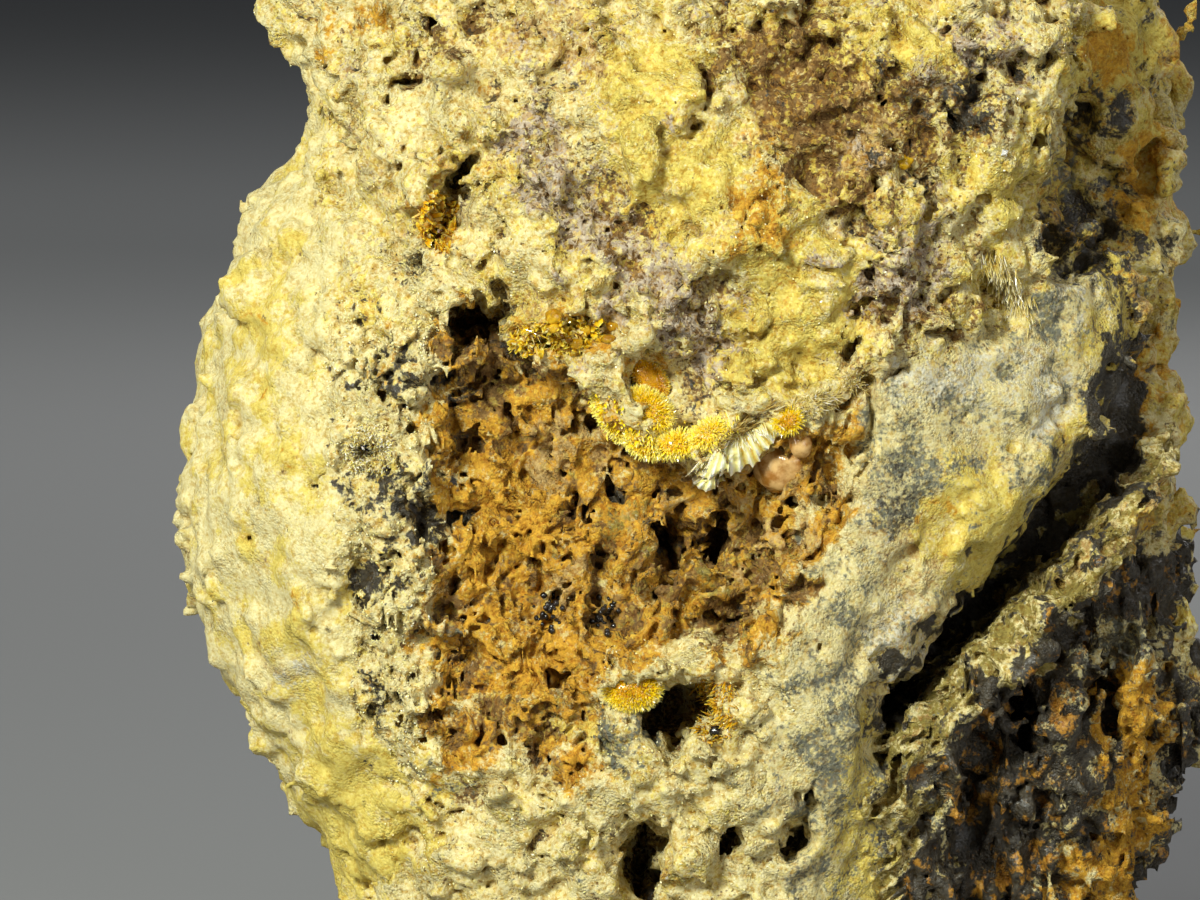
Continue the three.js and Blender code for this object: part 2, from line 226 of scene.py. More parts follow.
# ================================================================ the front view's regions
MAP_LOW = np.array([-36.0, -4.0])
MAP_STEP = 0.2
MAP_SHAPE = (330, 350)


def outline_distance(points):
    """A map of the distance to an outline in the front view, negative inside it."""
    x = MAP_LOW[0] + MAP_STEP * np.arange(MAP_SHAPE[0])[:, None]
    z = MAP_LOW[1] + MAP_STEP * np.arange(MAP_SHAPE[1])[None, :]
    nearest = np.full(MAP_SHAPE, 1e9)
    inside = np.zeros(MAP_SHAPE, bool)
    for (x0, z0), (x1, z1) in zip(points, points[1:] + points[:1]):
        dx, dz = x1 - x0, z1 - z0
        t = np.clip(((x - x0) * dx + (z - z0) * dz) / (dx * dx + dz * dz + 1e-12), 0, 1)
        nearest = np.minimum(nearest, np.hypot(x - x0 - t * dx, z - z0 - t * dz))
        if dz:
            crosses = ((z0 > z) != (z1 > z)) & (x < dx * (z - z0) / dz + x0)
            inside ^= crosses
    return np.where(inside, -nearest, nearest).astype(np.float32)


MAPS = {name: outline_distance(points) for name, points in REGIONS.items()}
HOLLOW_MAP = outline_distance(HOLLOW)
# An open line counts as an outline that goes there and back.
SEAM_MAP, FISSURE_MAP = (outline_distance(line + line[-2:0:-1]) for line in (SEAM, FISSURE))


def map_at(values, u, w):
    """A map's value at x = u, z = w."""
    a = np.clip((u - MAP_LOW[0]) / MAP_STEP, 0, MAP_SHAPE[0] - 1.001)
    b = np.clip((w - MAP_LOW[1]) / MAP_STEP, 0, MAP_SHAPE[1] - 1.001)
    i, j = a.astype(np.int32), b.astype(np.int32)
    fa, fb = a - i, b - j
    top = values[i, j] * (1 - fa) + values[i + 1, j] * fa
    return top * (1 - fb) + (values[i, j + 1] * (1 - fa) + values[i + 1, j + 1] * fa) * fb


def front_coords(p):
    """x and z of points p, pushed about a little so that no border between regions is smooth."""
    u = p[:, 0] + 0.45 * noise(p, 2.6, 1) + 0.18 * noise(p, 0.8, 2)
    w = p[:, 2] + 0.45 * noise(p, 2.6, 3) + 0.18 * noise(p, 0.8, 4)
    return u, w


def region_weights(p, u, w, blend=0.5):
    """How much each point belongs to each region, 0 to 1. The back has no regions."""
    front = smoothstep(2.0, -3.0, p[:, 1])
    sides = smoothstep(13.0, 6.0, p[:, 1] + 2.5 * noise(p, 4.5, 2))
    # The further back, the more a border wanders.
    wander = 2.6 * smoothstep(-7.0, 5.0, p[:, 1])
    u, w = u + wander * noise(p, 7.0, 5), w + wander * noise(p, 7.0, 6)
    weight = {}
    for name, values in MAPS.items():
        depth = sides if name in ("flank", "rear", "lobe") else front
        weight[name] = smoothstep(blend, -blend, map_at(values, u, w)) * depth
    weight["lobe"] = weight["lobe"] * (1 - weight["rind"])
    weight["rear"] = weight["rear"] * (1 - np.maximum(weight["rind"], weight["lobe"]))
    return weight


# ================================================================ sculpting
class Grid:
    """A block of signed distances (mm, negative in the rock) on a cubic grid."""

    def __init__(self, low, step, values):
        self.low, self.step, self.values = np.array(low, np.float32), step, values

    def at(self, p):
        return lookup(self.values, (p - self.low) / self.step, wrap=False)

    def points(self, mask):
        """Where the samples of a mask are."""
        index = np.argwhere(mask).astype(np.float32)
        return self.low + index * np.float32(self.step)

    def mesh(self):
        """The points and four-sided faces of the surface, where the distance is 0."""
        grid = vdb.FloatGrid(float(self.values.max()))
        grid.copyFromArray(self.values, tolerance=0.0)
        grid.gridClass = vdb.GridClass.LEVEL_SET
        points, quads = grid.convertToQuads(isovalue=0.0)
        return points * self.step + self.low, quads[:, ::-1]


def box_blur(values, reach):
    """A running mean over 2 * reach + 1 samples along each axis."""
    for axis in range(3):
        padded = np.concatenate([
            np.repeat(values.take([0], axis), reach + 1, axis), values,
            np.repeat(values.take([-1], axis), reach, axis),
        ], axis)
        total = np.cumsum(padded, axis, dtype=np.float64)
        count = 2 * reach + 1
        size = values.shape[axis]
        ends = total.take(range(count, count + size), axis)
        values = ((ends - total.take(range(size), axis)) / count).astype(np.float32)
    return values


def cad_grid(node, step, reach_mm):
    """The CAD node as a grid of signed distances."""
    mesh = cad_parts[node].data
    mesh.calc_loop_triangles()
    points = np.zeros(len(mesh.vertices) * 3, np.float32)
    mesh.vertices.foreach_get("co", points)
    corners = np.zeros(len(mesh.loop_triangles) * 3, np.int32)
    mesh.loop_triangles.foreach_get("vertices", corners)
    grid = vdb.FloatGrid.createLevelSetFromPolygons(
        points.reshape(-1, 3) / MM, triangles=corners.reshape(-1, 3).astype(np.uint32),
        transform=vdb.createLinearTransform(voxelSize=step), halfWidth=reach_mm / step)
    low, high = (np.array(c) for c in grid.evalActiveVoxelBoundingBox())
    values = np.zeros(high - low + 1, np.float32)
    grid.copyToArray(values, ijk=tuple(int(c) for c in low))
    return Grid(low * step, step, values)


ROCK_GRID = cad_grid(ROCK, 0.3, 4.0)
ROCK_GRID.values = box_blur(box_blur(ROCK_GRID.values, 1), 1)

# Open vugs and pits: [x, z, radius along x, radius along z, depth, tilt in degrees], in mm.
VUGS = [
    # the crust's left side
    (-14.2, 47.9, 1.0, 0.42, 2.6, 4), (-11.3, 43.4, 0.55, 1.4, 3.2, 35), (-14.4, 51.1, 0.4, 0.35, 1.5, 0),
    (-13, 50.7, 0.4, 0.75, 2, -10), (-13.7, 49, 0.25, 0.5, 1.2, 0), (-12.6, 49.1, 0.28, 0.55, 1.4, -15),
    (-15.2, 47, 0.3, 0.3, 0.9, 0), (-16.4, 51.2, 0.35, 0.9, 1.4, -25), (-12.6, 41.4, 0.4, 0.5, 1.2, 0),
    # its middle
    (0.8, 48, 0.42, 1.2, 1.6, -10), (0.15, 45.8, 0.5, 0.45, 1.3, 20), (4.5, 48.4, 0.9, 0.5, 0.9, 0),
    (3.4, 50.8, 0.2, 1.2, 1.5, 25), (0.75, 37.9, 0.65, 0.28, 1.4, 25), (-2.95, 38.9, 0.45, 0.25, 1, 0),
    (-2.6, 41.2, 0.3, 0.5, 1, 20), (-4.4, 42.6, 0.5, 0.25, 1, -20), (3.2, 33.1, 0.6, 0.3, 0.6, 15),
    (4.8, 32.9, 0.2, 0.35, 0.7, -20), (1.2, 34.4, 0.3, 0.22, 0.7, 0),
    # its right side
    (10.1, 48.5, 0.7, 0.5, 1.6, 0), (13.1, 45.9, 0.6, 0.45, 1.8, 20), (17.4, 44.9, 0.25, 0.8, 1.4, 12),
    (13.9, 41.4, 0.3, 0.4, 1.2, 0), (8.95, 38.3, 0.42, 0.38, 1.4, 0), (9.9, 39.6, 0.4, 0.2, 0.8, 0),
    (8, 34.6, 0.4, 0.9, 1.6, 20), (10.2, 33.4, 0.3, 0.8, 1.4, 55), (12.5, 35.4, 1.2, 0.35, 1.8, -5),
    (17.6, 48.6, 0.3, 0.7, 1.2, 10), (15, 39, 0.35, 0.6, 1.2, 15), (20.2, 38.8, 1.5, 1.5, 4, 30),
    # pockets that the golden crystals line
    (-6.5, 35.35, 2.4, 0.95, 0.9, -8), (-2.1, 33.15, 1.25, 0.75, 0.9, 50),
    # the recess
    (-10.9, 35.9, 1.75, 1.1, 5, 10), (-8.7, 34, 0.45, 1.4, 3, -50), (-3.9, 27.2, 0.55, 0.85, 2.4, -35),
    (-1.2, 24.6, 0.6, 1.8, 3.4, -20), (1.45, 24.7, 0.55, 1.6, 4, 12), (3.5, 25.4, 0.24, 0.5, 1.6, 0),
    (5.2, 26.7, 0.5, 0.42, 1.8, 15), (6.75, 26.9, 0.3, 0.4, 1.6, 0), (5.1, 25.2, 0.5, 0.5, 2, 0),
    (-1.1, 27.5, 0.28, 0.22, 1, 0), (-10.8, 29.5, 0.35, 0.65, 1.6, 15), (-8.6, 30.3, 0.42, 0.36, 1.4, 0),
    (-9, 31.4, 0.2, 0.55, 1.4, -15), (-7.4, 29.4, 0.45, 0.2, 1.2, 20), (-11.8, 22.6, 0.5, 0.5, 2, 0),
    (-12, 26.2, 0.5, 1.2, 2.4, 0), (2.2, 20.9, 0.4, 0.8, 2, 10), (-9.4, 24.6, 0.35, 0.3, 1.2, 0),
    # the left wall
    (-13, 29.5, 0.25, 1, 1.8, -8), (-13.4, 26, 0.5, 2, 1.6, -10), (-16.35, 29.5, 0.3, 0.5, 1.6, -10),
    (-15.2, 33.2, 0.5, 0.25, 0.9, -20), (-14.3, 31.6, 0.2, 0.4, 0.8, 20), (-12.7, 21.4, 0.5, 0.7, 1.8, 20),
    # the lower part
    (-0.8, 16.1, 2.5, 1.7, 5, -20), (-2.4, 8.2, 1.1, 2.7, 6, 5), (2, 9.6, 0.65, 1.15, 3, 10),
    (5.3, 9.4, 0.75, 1, 3, 25), (6, 11.8, 0.45, 0.8, 2.4, -20), (-10.8, 12.4, 0.3, 0.5, 1, 0),
    # the dark lobe
    (17.2, 15.4, 0.9, 2.4, 3.5, -8), (21.7, 15.6, 0.9, 2.2, 3, -10), (14.4, 11, 0.6, 1.4, 2.4, 10),
]

# Patches on the front, for each pigment in the order of painting: [x, z, radius along x, radius along
# z, strength], in mm.
PATCHES = {
    "yellow": [
        (-1.2, 44.8, 3.6, 4.6, 0.55), (-2.6, 49, 2.2, 2, 0.4), (5.2, 38.4, 2.6, 5.2, 0.6),
        (4, 34.8, 2.8, 2.4, 0.55), (9.6, 50.4, 3.6, 1.6, 0.6), (14.4, 25.6, 3.2, 3.2, 1.0),
        (20.6, 35.5, 1.6, 3, 0.45), (21.5, 49.5, 2.6, 2.6, 0.45), (-18.6, 14.8, 1.6, 2, 0.3),
        (-17, 10.5, 3.4, 5.4, 0.5), (-8.7, 19.6, 2, 1.6, 0.3), (8.3, 9, 1.6, 4, 0.4),
        (15, 43.4, 2.6, 1.8, 0.45), (15.5, 38.4, 1.8, 2.6, 0.4), (-12, 36.9, 2, 1.2, 0.3),
        (-21.4, 35.6, 2, 2.6, 0.45), (-21.4, 32.4, 0.6, 3, 0.55), (-20, 27.6, 2, 1.6, 0.4),
        (-19.6, 21.6, 2, 2.6, 0.25), (-23.4, 30, 1, 4, 0.15), (-16.6, 10.4, 3, 3, 0.2),
        (-8.6, 25, 1.8, 2.6, 0.3),
    ],
    "ochre": [
        (3.6, 42.2, 1.6, 3.2, 0.6), (5.6, 39.4, 1.5, 2, 0.35), (-12.8, 40.7, 0.8, 1.1, 0.8),
        (-18.6, 50.2, 0.5, 1.3, 0.7), (-11.7, 46.2, 0.6, 1, 0.45), (-16.4, 51.2, 0.5, 1, 0.7),
        (-12.4, 44.6, 0.7, 0.8, 0.4), (5.4, 36.2, 1.2, 1.2, 0.3), (-6.5, 35.4, 2.2, 0.85, 0.85),
        (-1.9, 33.1, 1, 1.2, 0.95), (-9.5, 26, 2.8, 4, 0.3), (-8, 18.7, 2.8, 1.4, 0.7),
        (-8.4, 26, 2.2, 3.4, 0.35), (-21.9, 36.4, 0.7, 0.9, 0.5), (-20.3, 36, 0.6, 0.9, 0.55),
        (-21.2, 32.8, 0.45, 1.7, 0.5), (-19.9, 28.3, 0.8, 0.6, 0.5), (-20.6, 27.1, 0.7, 0.6, 0.4),
        (-19.8, 23.1, 0.8, 0.8, 0.3), (12, 26.4, 1.2, 1.5, 0.7), (-11, 27.5, 1.2, 3.4, 0.4),
        (22.8, 15.6, 1.9, 3.6, 0.95), (24.2, 11, 2.8, 5, 0.95), (22.4, 6.4, 4.2, 3, 0.95),
        (20.6, 3.6, 4, 1.6, 0.9), (23.4, 31.5, 0.9, 3.6, 0.5), (21.4, 49.6, 1.4, 1.2, 0.7),
        (23, 42.4, 1.2, 2, 0.6),
    ],
    "tan": [
        (18.7, 11.4, 0.9, 2.6, 0.55), (19.4, 15.6, 1, 1.6, 0.5), (6.4, 46.4, 3, 4, 0.6),
        (7.2, 44.6, 2.4, 1.4, 0.4), (-6.5, 50, 4, 2.2, 0.4), (4, 27, 3.4, 2.4, 0.4),
        (-6.4, 29, 2.4, 2, 0.65), (2, 17.8, 2.4, 1, 0.4), (-7, 22, 3, 1.2, 0.5),
        (22.6, 34, 1.8, 7, 0.35), (11, 23.6, 2, 2.6, 0.3),
    ],
    "olive": [
        (-10, 45.3, 0.8, 0.9, 0.5), (15.5, 37, 2, 1.4, 0.35), (17, 43, 2, 3, 0.3),
        (-1.6, 22.8, 4, 3, 0.3), (3, 22, 2.4, 3, 0.2), (11.4, 44, 1.2, 0.8, 0.5),
        (2.9, 45.8, 1, 1.4, 0.35),
    ],
    "lilac": [
        (-7.7, 45.2, 1.9, 2.8, 0.7), (-6.2, 42.7, 1.9, 2.1, 0.7), (-4.5, 40.5, 2, 2, 0.65),
        (-2.5, 38.7, 2.3, 1.8, 0.7), (-0.3, 36.9, 2.1, 1.9, 0.75), (1, 34.6, 1.3, 1.9, 0.65),
        (10.2, 38.5, 2.7, 2.2, 0.9), (-6.5, 50, 3.4, 1.7, 0.35), (15.4, 50.4, 2.2, 1.6, 0.5),
        (8.4, 44.6, 1.6, 1, 0.5), (-0.6, 46.2, 1, 0.9, 0.5), (12.4, 42, 1.4, 1.4, 0.4),
        (13.4, 48.2, 3, 2.6, 0.5),
    ],
    "umber": [
        (1, 23, 5, 3.4, 0.5), (-10.6, 33, 1.8, 2.2, 0.6), (-8.4, 16, 3, 1.3, 0.5),
        (-0.6, 27.4, 3, 1.4, 0.4), (12.6, 46.6, 3.4, 3, 0.75), (13, 36.4, 3.4, 1.3, 0.5),
        (9.8, 37, 2.2, 1.4, 0.35), (6, 48.6, 3.6, 3.6, 0.65), (5.6, 45.2, 2.2, 2.6, 0.7),
        (1.2, 49.4, 0.8, 2.4, 0.6), (-12.8, 50, 1.8, 2, 0.5), (-3.4, 40.6, 1.4, 2.4, 0.5),
        (8.6, 42.4, 2.4, 0.8, 0.5), (0.9, 37.2, 1.6, 1, 0.35), (-6.4, 49.2, 2.6, 0.5, 0.35),
        (10.4, 34.2, 2.4, 1, 0.5), (-15.9, 31.7, 1.2, 0.8, 0.5),
    ],
    "pale": [
        (16.6, 32.4, 3, 2.2, 0.45), (12, 33, 2.4, 1.6, 0.45), (20, 37, 1.4, 2.4, 0.4),
        (9, 23.4, 1.6, 3.4, 0.3), (10.6, 19, 2, 2, 0.3),
    ],
    "blue": [
        (-12.9, 21.5, 0.8, 1.7, 0.5), (-13.9, 13.6, 0.9, 0.7, 0.45), (-11.4, 12.1, 0.9, 0.7, 0.45),
        (-3.3, 15.2, 1.5, 1.8, 0.75), (22.4, 18.6, 2.2, 1.6, 0.95), (7, 14, 2, 3, 0.2),
        (11.5, 28.5, 1, 1.6, 0.3), (13, 10.5, 1.4, 3, 0.5), (14.6, 47.6, 1, 1.4, 0.4),
        (12.4, 47.2, 2.4, 2.2, 0.4), (20, 42.2, 1.4, 1.1, 0.8), (19.2, 36.2, 1.4, 1.6, 0.3),
        (19.1, 44.4, 1.4, 1.3, 0.7),
    ],
    # Many dark patches are painted shade: on vugs and holes, along the fissure, under the crust's overhang
    # and in the shadowed hollow by the rear. The others are the stone's own dark.
    "dark": [
        (14.3, 48, 1.3, 1.9, 0.65), (12.8, 46.4, 1.5, 1.5, 0.6), (10.2, 48.5, 0.9, 0.9, 0.55),
        (9.4, 44.6, 1, 0.9, 0.4), (18.2, 49, 0.7, 1.4, 0.5), (10.9, 42.6, 1.2, 0.5, 0.45),
        (17.4, 44.9, 0.35, 1, 0.5), (4.4, 46.6, 0.7, 1.8, 0.35), (11.7, 37.3, 1.4, 0.5, 0.3),
        (10.6, 28.2, 0.9, 3, 0.42), (9.6, 26, 1, 2, 0.3), (12.4, 31.6, 1.4, 1, 0.3),
        (8.3, 16.6, 1.6, 2.6, 0.3), (14.2, 33.6, 1.6, 0.6, 0.3), (-16.1, 36.6, 0.6, 0.6, 0.5),
        (-11.8, 33, 1.2, 1.6, 0.55), (-13.3, 26.4, 0.8, 2.1, 0.85), (-15.2, 33.3, 1.2, 0.7, 0.55),
        (-13.5, 38.7, 0.9, 0.7, 0.55), (-16.4, 28, 0.8, 0.6, 0.45), (-14.5, 26, 0.3, 2.3, 0.5),
        (-20.5, 33.2, 0.5, 0.6, 0.45), (-19, 39.6, 0.5, 0.5, 0.45), (-3.4, 26.6, 1.2, 1.3, 0.5),
        (-1.4, 24.6, 1, 2, 0.45), (-14.8, 15.9, 0.6, 0.6, 0.5), (20, 40, 2.2, 2.4, 0.9),
        (22.4, 36.5, 1.1, 5, 0.75), (21.8, 47.2, 2.6, 1, 0.6), (21.4, 45.4, 1.5, 1.2, 0.55),
    ],
    "rust": [
        (19, 16.4, 1, 1.2, 0.35), (14.6, 12.6, 1.6, 2.4, 0.3), (17.5, 7.4, 2.4, 1.2, 0.4),
    ],
}
PIGMENTS = ("yellow", "ochre", "tan", "olive", "lilac", "umber", "pale", "blue", "dark", "rust")
MOST_COVER = 0.84  # so that a little of what lies below always shows through a patch
STRAY = 0.06  # taken off every pigment, so that none strays far from its own places
HOLD_BACK = 0.75  # how far a patch holds back the pigments that are painted over it


def rock_face(x, z):
    """y where a line along +Y at [x, z] first meets the CAD rock, in mm."""
    y = np.arange(-22, 16, 0.2, dtype=np.float32)
    line = np.stack([np.full_like(y, x), y, np.full_like(y, z)], 1)
    inside = np.nonzero(ROCK_GRID.at(line) < 0)[0]
    return float(y[inside[0]]) if len(inside) else 0.0


# How strong each length of noise is, in mm, in each region: wavelengths in WAVES.
WAVES = (5.0, 2.6, 1.4, 0.8, 0.45)
RELIEF = {
    "crust": (0.42, 0.46, 0.3, 0.15, 0.09),
    "wall": (0.25, 0.3, 0.24, 0.14, 0.09),
    "recess": (0.3, 0.3, 0.2, 0.14, 0.1),
    "slab": (0.2, 0.12, 0.06, 0.03, 0.02),
    "lower": (0.3, 0.38, 0.28, 0.15, 0.09),
    "rear": (0.6, 0.32, 0.18, 0.1, 0.05),
    "lobe": (0.35, 0.4, 0.32, 0.2, 0.12),
    "rind": (0.14, 0.08, 0.05, 0.035, 0.03),
    "flank": (0.24, 0.2, 0.15, 0.09, 0.06),
}
PLAIN_RELIEF = (0.7, 0.6, 0.42, 0.2, 0.08)
# How strongly the surface is bent before the relief, how tall its granules and its broken blocks
# are (mm), and how much of it is open pores.
WARP = {"crust": 0.8, "slab": 0.35, "flank": 0.55, "rind": 0.4}
GRANULES = {
    "crust": 0.06, "wall": 0.06, "recess": 0.07, "slab": 0.01, "lower": 0.08, "rear": 0.03, "flank": 0.04,
}
BLOCKS = {
    "crust": 0.2, "wall": 0.42, "recess": 0.7, "lower": 0.35, "rear": 0.14, "lobe": 0.3, "slab": 0.03,
    "flank": 0.08,
}
PORES = {
    "crust": 0.06, "wall": 0.12, "lower": 0.14, "slab": 0.02, "rear": 0.03, "flank": 0.04, "rind": 0.02,
}
# Wide folds in the crust and the slab: [x, z, x, z, half-width, depth], in mm; a ridge has a depth
# below 0.
FOLDS = [
    (-8.5, 49, -4.5, 41.8, 1.5, 0.8), (-4.5, 41.8, 1.2, 35, 1.3, 0.8),
    (-3.6, 49.5, 2.6, 40.5, 1.9, -0.8), (8, 40.6, 11.4, 43.4, 1.0, 0.6),
    (11.4, 43.4, 14.6, 48.6, 1.4, 0.8), (6.6, 33.4, 5.4, 41, 1.5, -0.6),
    (11, 51.5, 16.6, 43.6, 1.1, -0.5), (-14.6, 45, -9.6, 50.5, 1.6, -0.6),
    (-9.8, 38.6, -12.6, 42.6, 1.0, 0.6), (10.0, 19.2, 18.4, 29.6, 1.3, -0.8),
]
COARSE = ("lilac", "umber", "dark")  # the pigments of the broken, pitted stretches
CALM = ("yellow", "pale")  # and those of the smooth ones
# Raised rims round pockets: [x, z, radius along x, radius along z, tilt in degrees, height], in mm.
RIMS = [
    (-6.5, 35.15, 2.75, 1.25, -8, 0.4), (-2.1, 33.1, 1.5, 1.0, 50, 0.25),
    (-16.3, 29.5, 1.2, 1.5, -8, 0.3),
]
RIND_WAY = (0.69, 0.72)  # which way the rind's layers run, in x and z
FISSURE_REACH = 0.35  # half of the fissure's width at its lower end, in mm
FISSURE_FLARE = 1.05  # what its upper end adds to that
FISSURE_DEPTH = 2.3
PORE_DEPTH = 0.6
CRACK_DEPTH = 0.7
OUTSIDE = 9.0  # a distance that means far outside, in mm


def rind_layers(p):
    """Noise in long sheets that run along the rind."""
    a, b = RIND_WAY
    sway = 0.5 * noise(p, 3.5, 28)
    along = np.stack([p[:, 0] * a + p[:, 2] * b, p[:, 1], p[:, 2] * a - p[:, 0] * b + sway], 1)
    return lookup(SMOOTH, along / np.array([8.0, 3.0, 0.8], np.float32) * PER_WAVE)


def veins(p):
    """0 on the left wall's veins, which are upright but wander, and more beside them."""
    return np.abs(noise(bent(p, 0.5, 2.8, (5, 6, 7)).astype(np.float32), 1.4, 16, (1, 1, 3.2)))


def splinters(p):
    """Sharp crests along the recess's grain, which is upright and leans a little."""
    q = bent(p, 0.5, 3.2, (5, 6, 7))
    q[:, 0] -= 0.3 * p[:, 2]
    coarse = np.abs(noise(q.astype(np.float32), 1.7, 23, (1, 1, 2.4)))
    fine = np.abs(noise(q.astype(np.float32), 0.8, 24, (1, 1, 2.2)))
    return 0.62 * (0.8 - 1.7 * coarse) + 0.26 * (0.8 - 1.7 * fine)


def blocks(p):
    """Angular broken blocks: the distance to a block's edge, and the block's own number, 0 to 1."""
    _, wall, value = cells(bent(p, 0.16, 1.1, (0, 3, 6)), 1.25, 25, (1, 1, 1.3))
    return wall, value


def patch_weight(u, w, pigments):
    """How far the patches of these pigments reach, 0 to 1."""
    total = np.zeros_like(u)
    for pigment in pigments:
        for x, z, rx, rz, strength in PATCHES[pigment]:
            r = np.hypot((u - x) / rx, (w - z) / rz)
            total = np.maximum(total, min(1, 1.6 * strength) * smoothstep(1.3, 0.6, r))
    return total


def hollow_at(u, w, front):
    """How far the sunken hollow in the crust reaches, 0 to 1."""
    return smoothstep(0.1, -0.35, map_at(HOLLOW_MAP, u, w)) * front


def fold_depth(u, w):
    """How deep the wide folds are at x = u, z = w, in mm."""
    total = np.zeros_like(u)
    for x0, z0, x1, z1, half, depth in FOLDS:
        dx, dz = x1 - x0, z1 - z0
        t = np.clip(((u - x0) * dx + (w - z0) * dz) / (dx * dx + dz * dz), 0, 1)
        total += depth * np.exp(-((u - x0 - t * dx) ** 2 + (w - z0 - t * dz) ** 2) / half ** 2)
    return total


def from_fissure(u, w):
    """How far outside the fissure, which is wider towards its upper end."""
    return map_at(FISSURE_MAP, u, w) - FISSURE_REACH - FISSURE_FLARE * smoothstep(18, 28, w)


class Spots:
    """Where points p lie: how much of each region, how far to the front, how rough the rock is."""

    def __init__(self, p):
        self.p = p
        self.u, self.w = front_coords(p)
        weight = region_weights(p, self.u, self.w)
        known = np.clip(sum(weight[n] for n in RELIEF), 1e-6, None)
        self.share = {n: weight[n] / np.maximum(known, 1) for n in RELIEF}
        self.plain = np.clip(1 - known, 0, 1)
        self.front = smoothstep(2.0, -3.0, p[:, 1])
        self.coarse = patch_weight(self.u, self.w, COARSE) * self.front * self.share["crust"]
        calm = patch_weight(self.u, self.w, CALM) * self.front * (1 - self.coarse)
        self.quiet = 1 - 0.55 * calm
        self.rough = np.clip(0.85 + 0.35 * noise(p, 7.0, 10), 0.4, 1.6) * self.quiet + 0.5 * self.coarse

    def mean(self, table):
        """A table's values, each by its region's share."""
        return sum(self.share[n] * table[n] for n in table)


def warped_rock(at):
    """The CAD rock's distance, bent a little, with the hollow and the folds in it."""
    p = at.p
    warp = np.stack([noise(p, 4.5, 5 + i) * 0.3 + noise(p, 1.6, 8 + i) * 0.16 for i in range(3)], 1)
    strength = 1 - sum(at.share[n] * (1 - WARP[n]) for n in WARP)
    d = ROCK_GRID.at((p + warp * strength[:, None]).astype(np.float32))
    d += 0.8 * hollow_at(at.u, at.w, at.front) * np.clip(0.8 + 0.4 * noise(p, 4.0, 26), 0.2, 1.3)
    d += (at.share["crust"] + at.share["slab"]) * fold_depth(at.u, at.w)
    return d


def add_relief(d, at):
    """Relief at five sizes.

    Where lumpy is high it is round lumps with sharp creases, and where it is low, ragged ridges.
    """
    lumpy = np.clip(0.15 + 0.5 * noise(at.p, 5.5, 27), -0.6, 0.9)
    lumpy = lumpy * (1 - at.share["recess"]) - 0.2 * at.share["recess"]
    for i, wavelength in enumerate(WAVES):
        amount = at.plain * PLAIN_RELIEF[i] + sum(at.share[n] * RELIEF[n][i] for n in RELIEF)
        bump = noise(at.p, wavelength, 11 + i)
        lumps = lumpy * (1.5 * np.abs(bump) - 1) + (1 - 0.6 * np.abs(lumpy)) * 0.8 * bump
        d -= amount * (at.rough if i else 1) * lumps
    return d


def add_granules(d, at):
    """Packed grains with gaps between them."""
    near, _, value = cells(at.p, 0.75, 15)
    tall = 0.14 * at.plain + 0.08 * at.coarse + at.mean(GRANULES)
    d -= tall * at.rough * (1.6 - 2.6 * near) * (0.4 + value)
    return d


def add_blocks(d, at):
    """Broken blocks with cracks between them."""
    wall, value = blocks(at.p)
    tall = at.mean(BLOCKS) + 0.45 * at.plain + 0.3 * at.coarse
    broken = at.quiet * smoothstep(-0.6, 0.5, noise(at.p, 4.0, 29) + 1.5 * at.share["recess"] + at.coarse)
    d -= tall * broken * (value - 0.5)
    d += tall * broken * 0.6 * smoothstep(0.16, 0.02, wall)
    return d


def add_grain(d, at):
    """Splinters in the recess, upright veins on the left wall, sheets in the rind, ribs on the lobe."""
    d -= at.share["recess"] * splinters(at.p)
    d -= at.share["wall"] * 0.5 * (1 - 2.2 * veins(at.p)) * np.clip(0.6 + 0.5 * noise(at.p, 3.5, 20), 0, 1.2)
    d -= at.share["rind"] * 0.38 * (1 - 1.9 * np.abs(rind_layers(at.p)))
    ribs = noise(at.p, 1.3, 17, (1, 1, 3.5))
    d -= at.share["lobe"] * 0.35 * (1 - 1.6 * np.abs(ribs))
    return d


def add_boxwork(d, at):
    """Thin walls between open cells, in the recess and in the dark lobe."""
    _, wall, value = cells(at.p, 1.9, 18, (1, 1, 1.8))
    box = (wall - 0.2 - 0.6 * (value < 0.72)) * 1.6
    shut = 0.65 + 0.3 * noise(at.p, 3.5, 19)
    d = np.where(at.share["recess"] > 0.4, np.maximum(d, np.minimum(box, d + 1.1 * shut)), d)
    _, wall, value = cells(at.p, 2.3, 20, (1, 1, 1.5))
    box = (wall - 0.26 - 0.5 * (value < 0.4)) * 1.9
    return np.where(at.share["lobe"] > 0.4, np.maximum(d, np.minimum(box, d + 1.2)), d)


def add_rims(d, at):
    """Raised rims round pockets."""
    for x, z, rx, rz, tilt, height in RIMS:
        along, across = turned(at.u - x, at.w - z, tilt)
        d -= height * at.front * np.exp(-(((np.hypot(along / rx, across / rz) - 1) / 0.13) ** 2))
    return d


def cut_seam(d, at):
    """The seam between the recess and the slab: a groove with a raised lip beside it."""
    p = at.p
    seam = map_at(SEAM_MAP, p[:, 0] + 0.12 * noise(p, 1.7, 21), p[:, 2] + 0.12 * noise(p, 1.7, 22))
    d += at.front * (0.7 * smoothstep(0.24, 0.06, seam) - 0.2 * smoothstep(0.2, 0.0, np.abs(seam - 0.42)))
    return d


def cut_fissure(d, at):
    """The fissure between the slab and the rear."""
    apart = from_fissure(at.u, at.w)
    return np.maximum(d, np.minimum(-apart, d + FISSURE_DEPTH) * at.front - OUTSIDE * (1 - at.front))


def cut_pores(d, at):
    """Scattered ragged holes, more of them where the crust is coarse."""
    near, _, value = cells(bent(at.p, 0.3, 0.8, (0, 1, 2)), 1.1, 21, (1, 1, 1.3))
    share_open = (at.mean(PORES) + 0.16 * at.plain) * at.quiet + 0.3 * at.coarse
    radius = np.where(value < share_open, 0.2 + 0.16 * value / np.maximum(share_open, 0.01), -1)
    return np.maximum(d, np.minimum((radius - near) * 1.1, d + PORE_DEPTH))


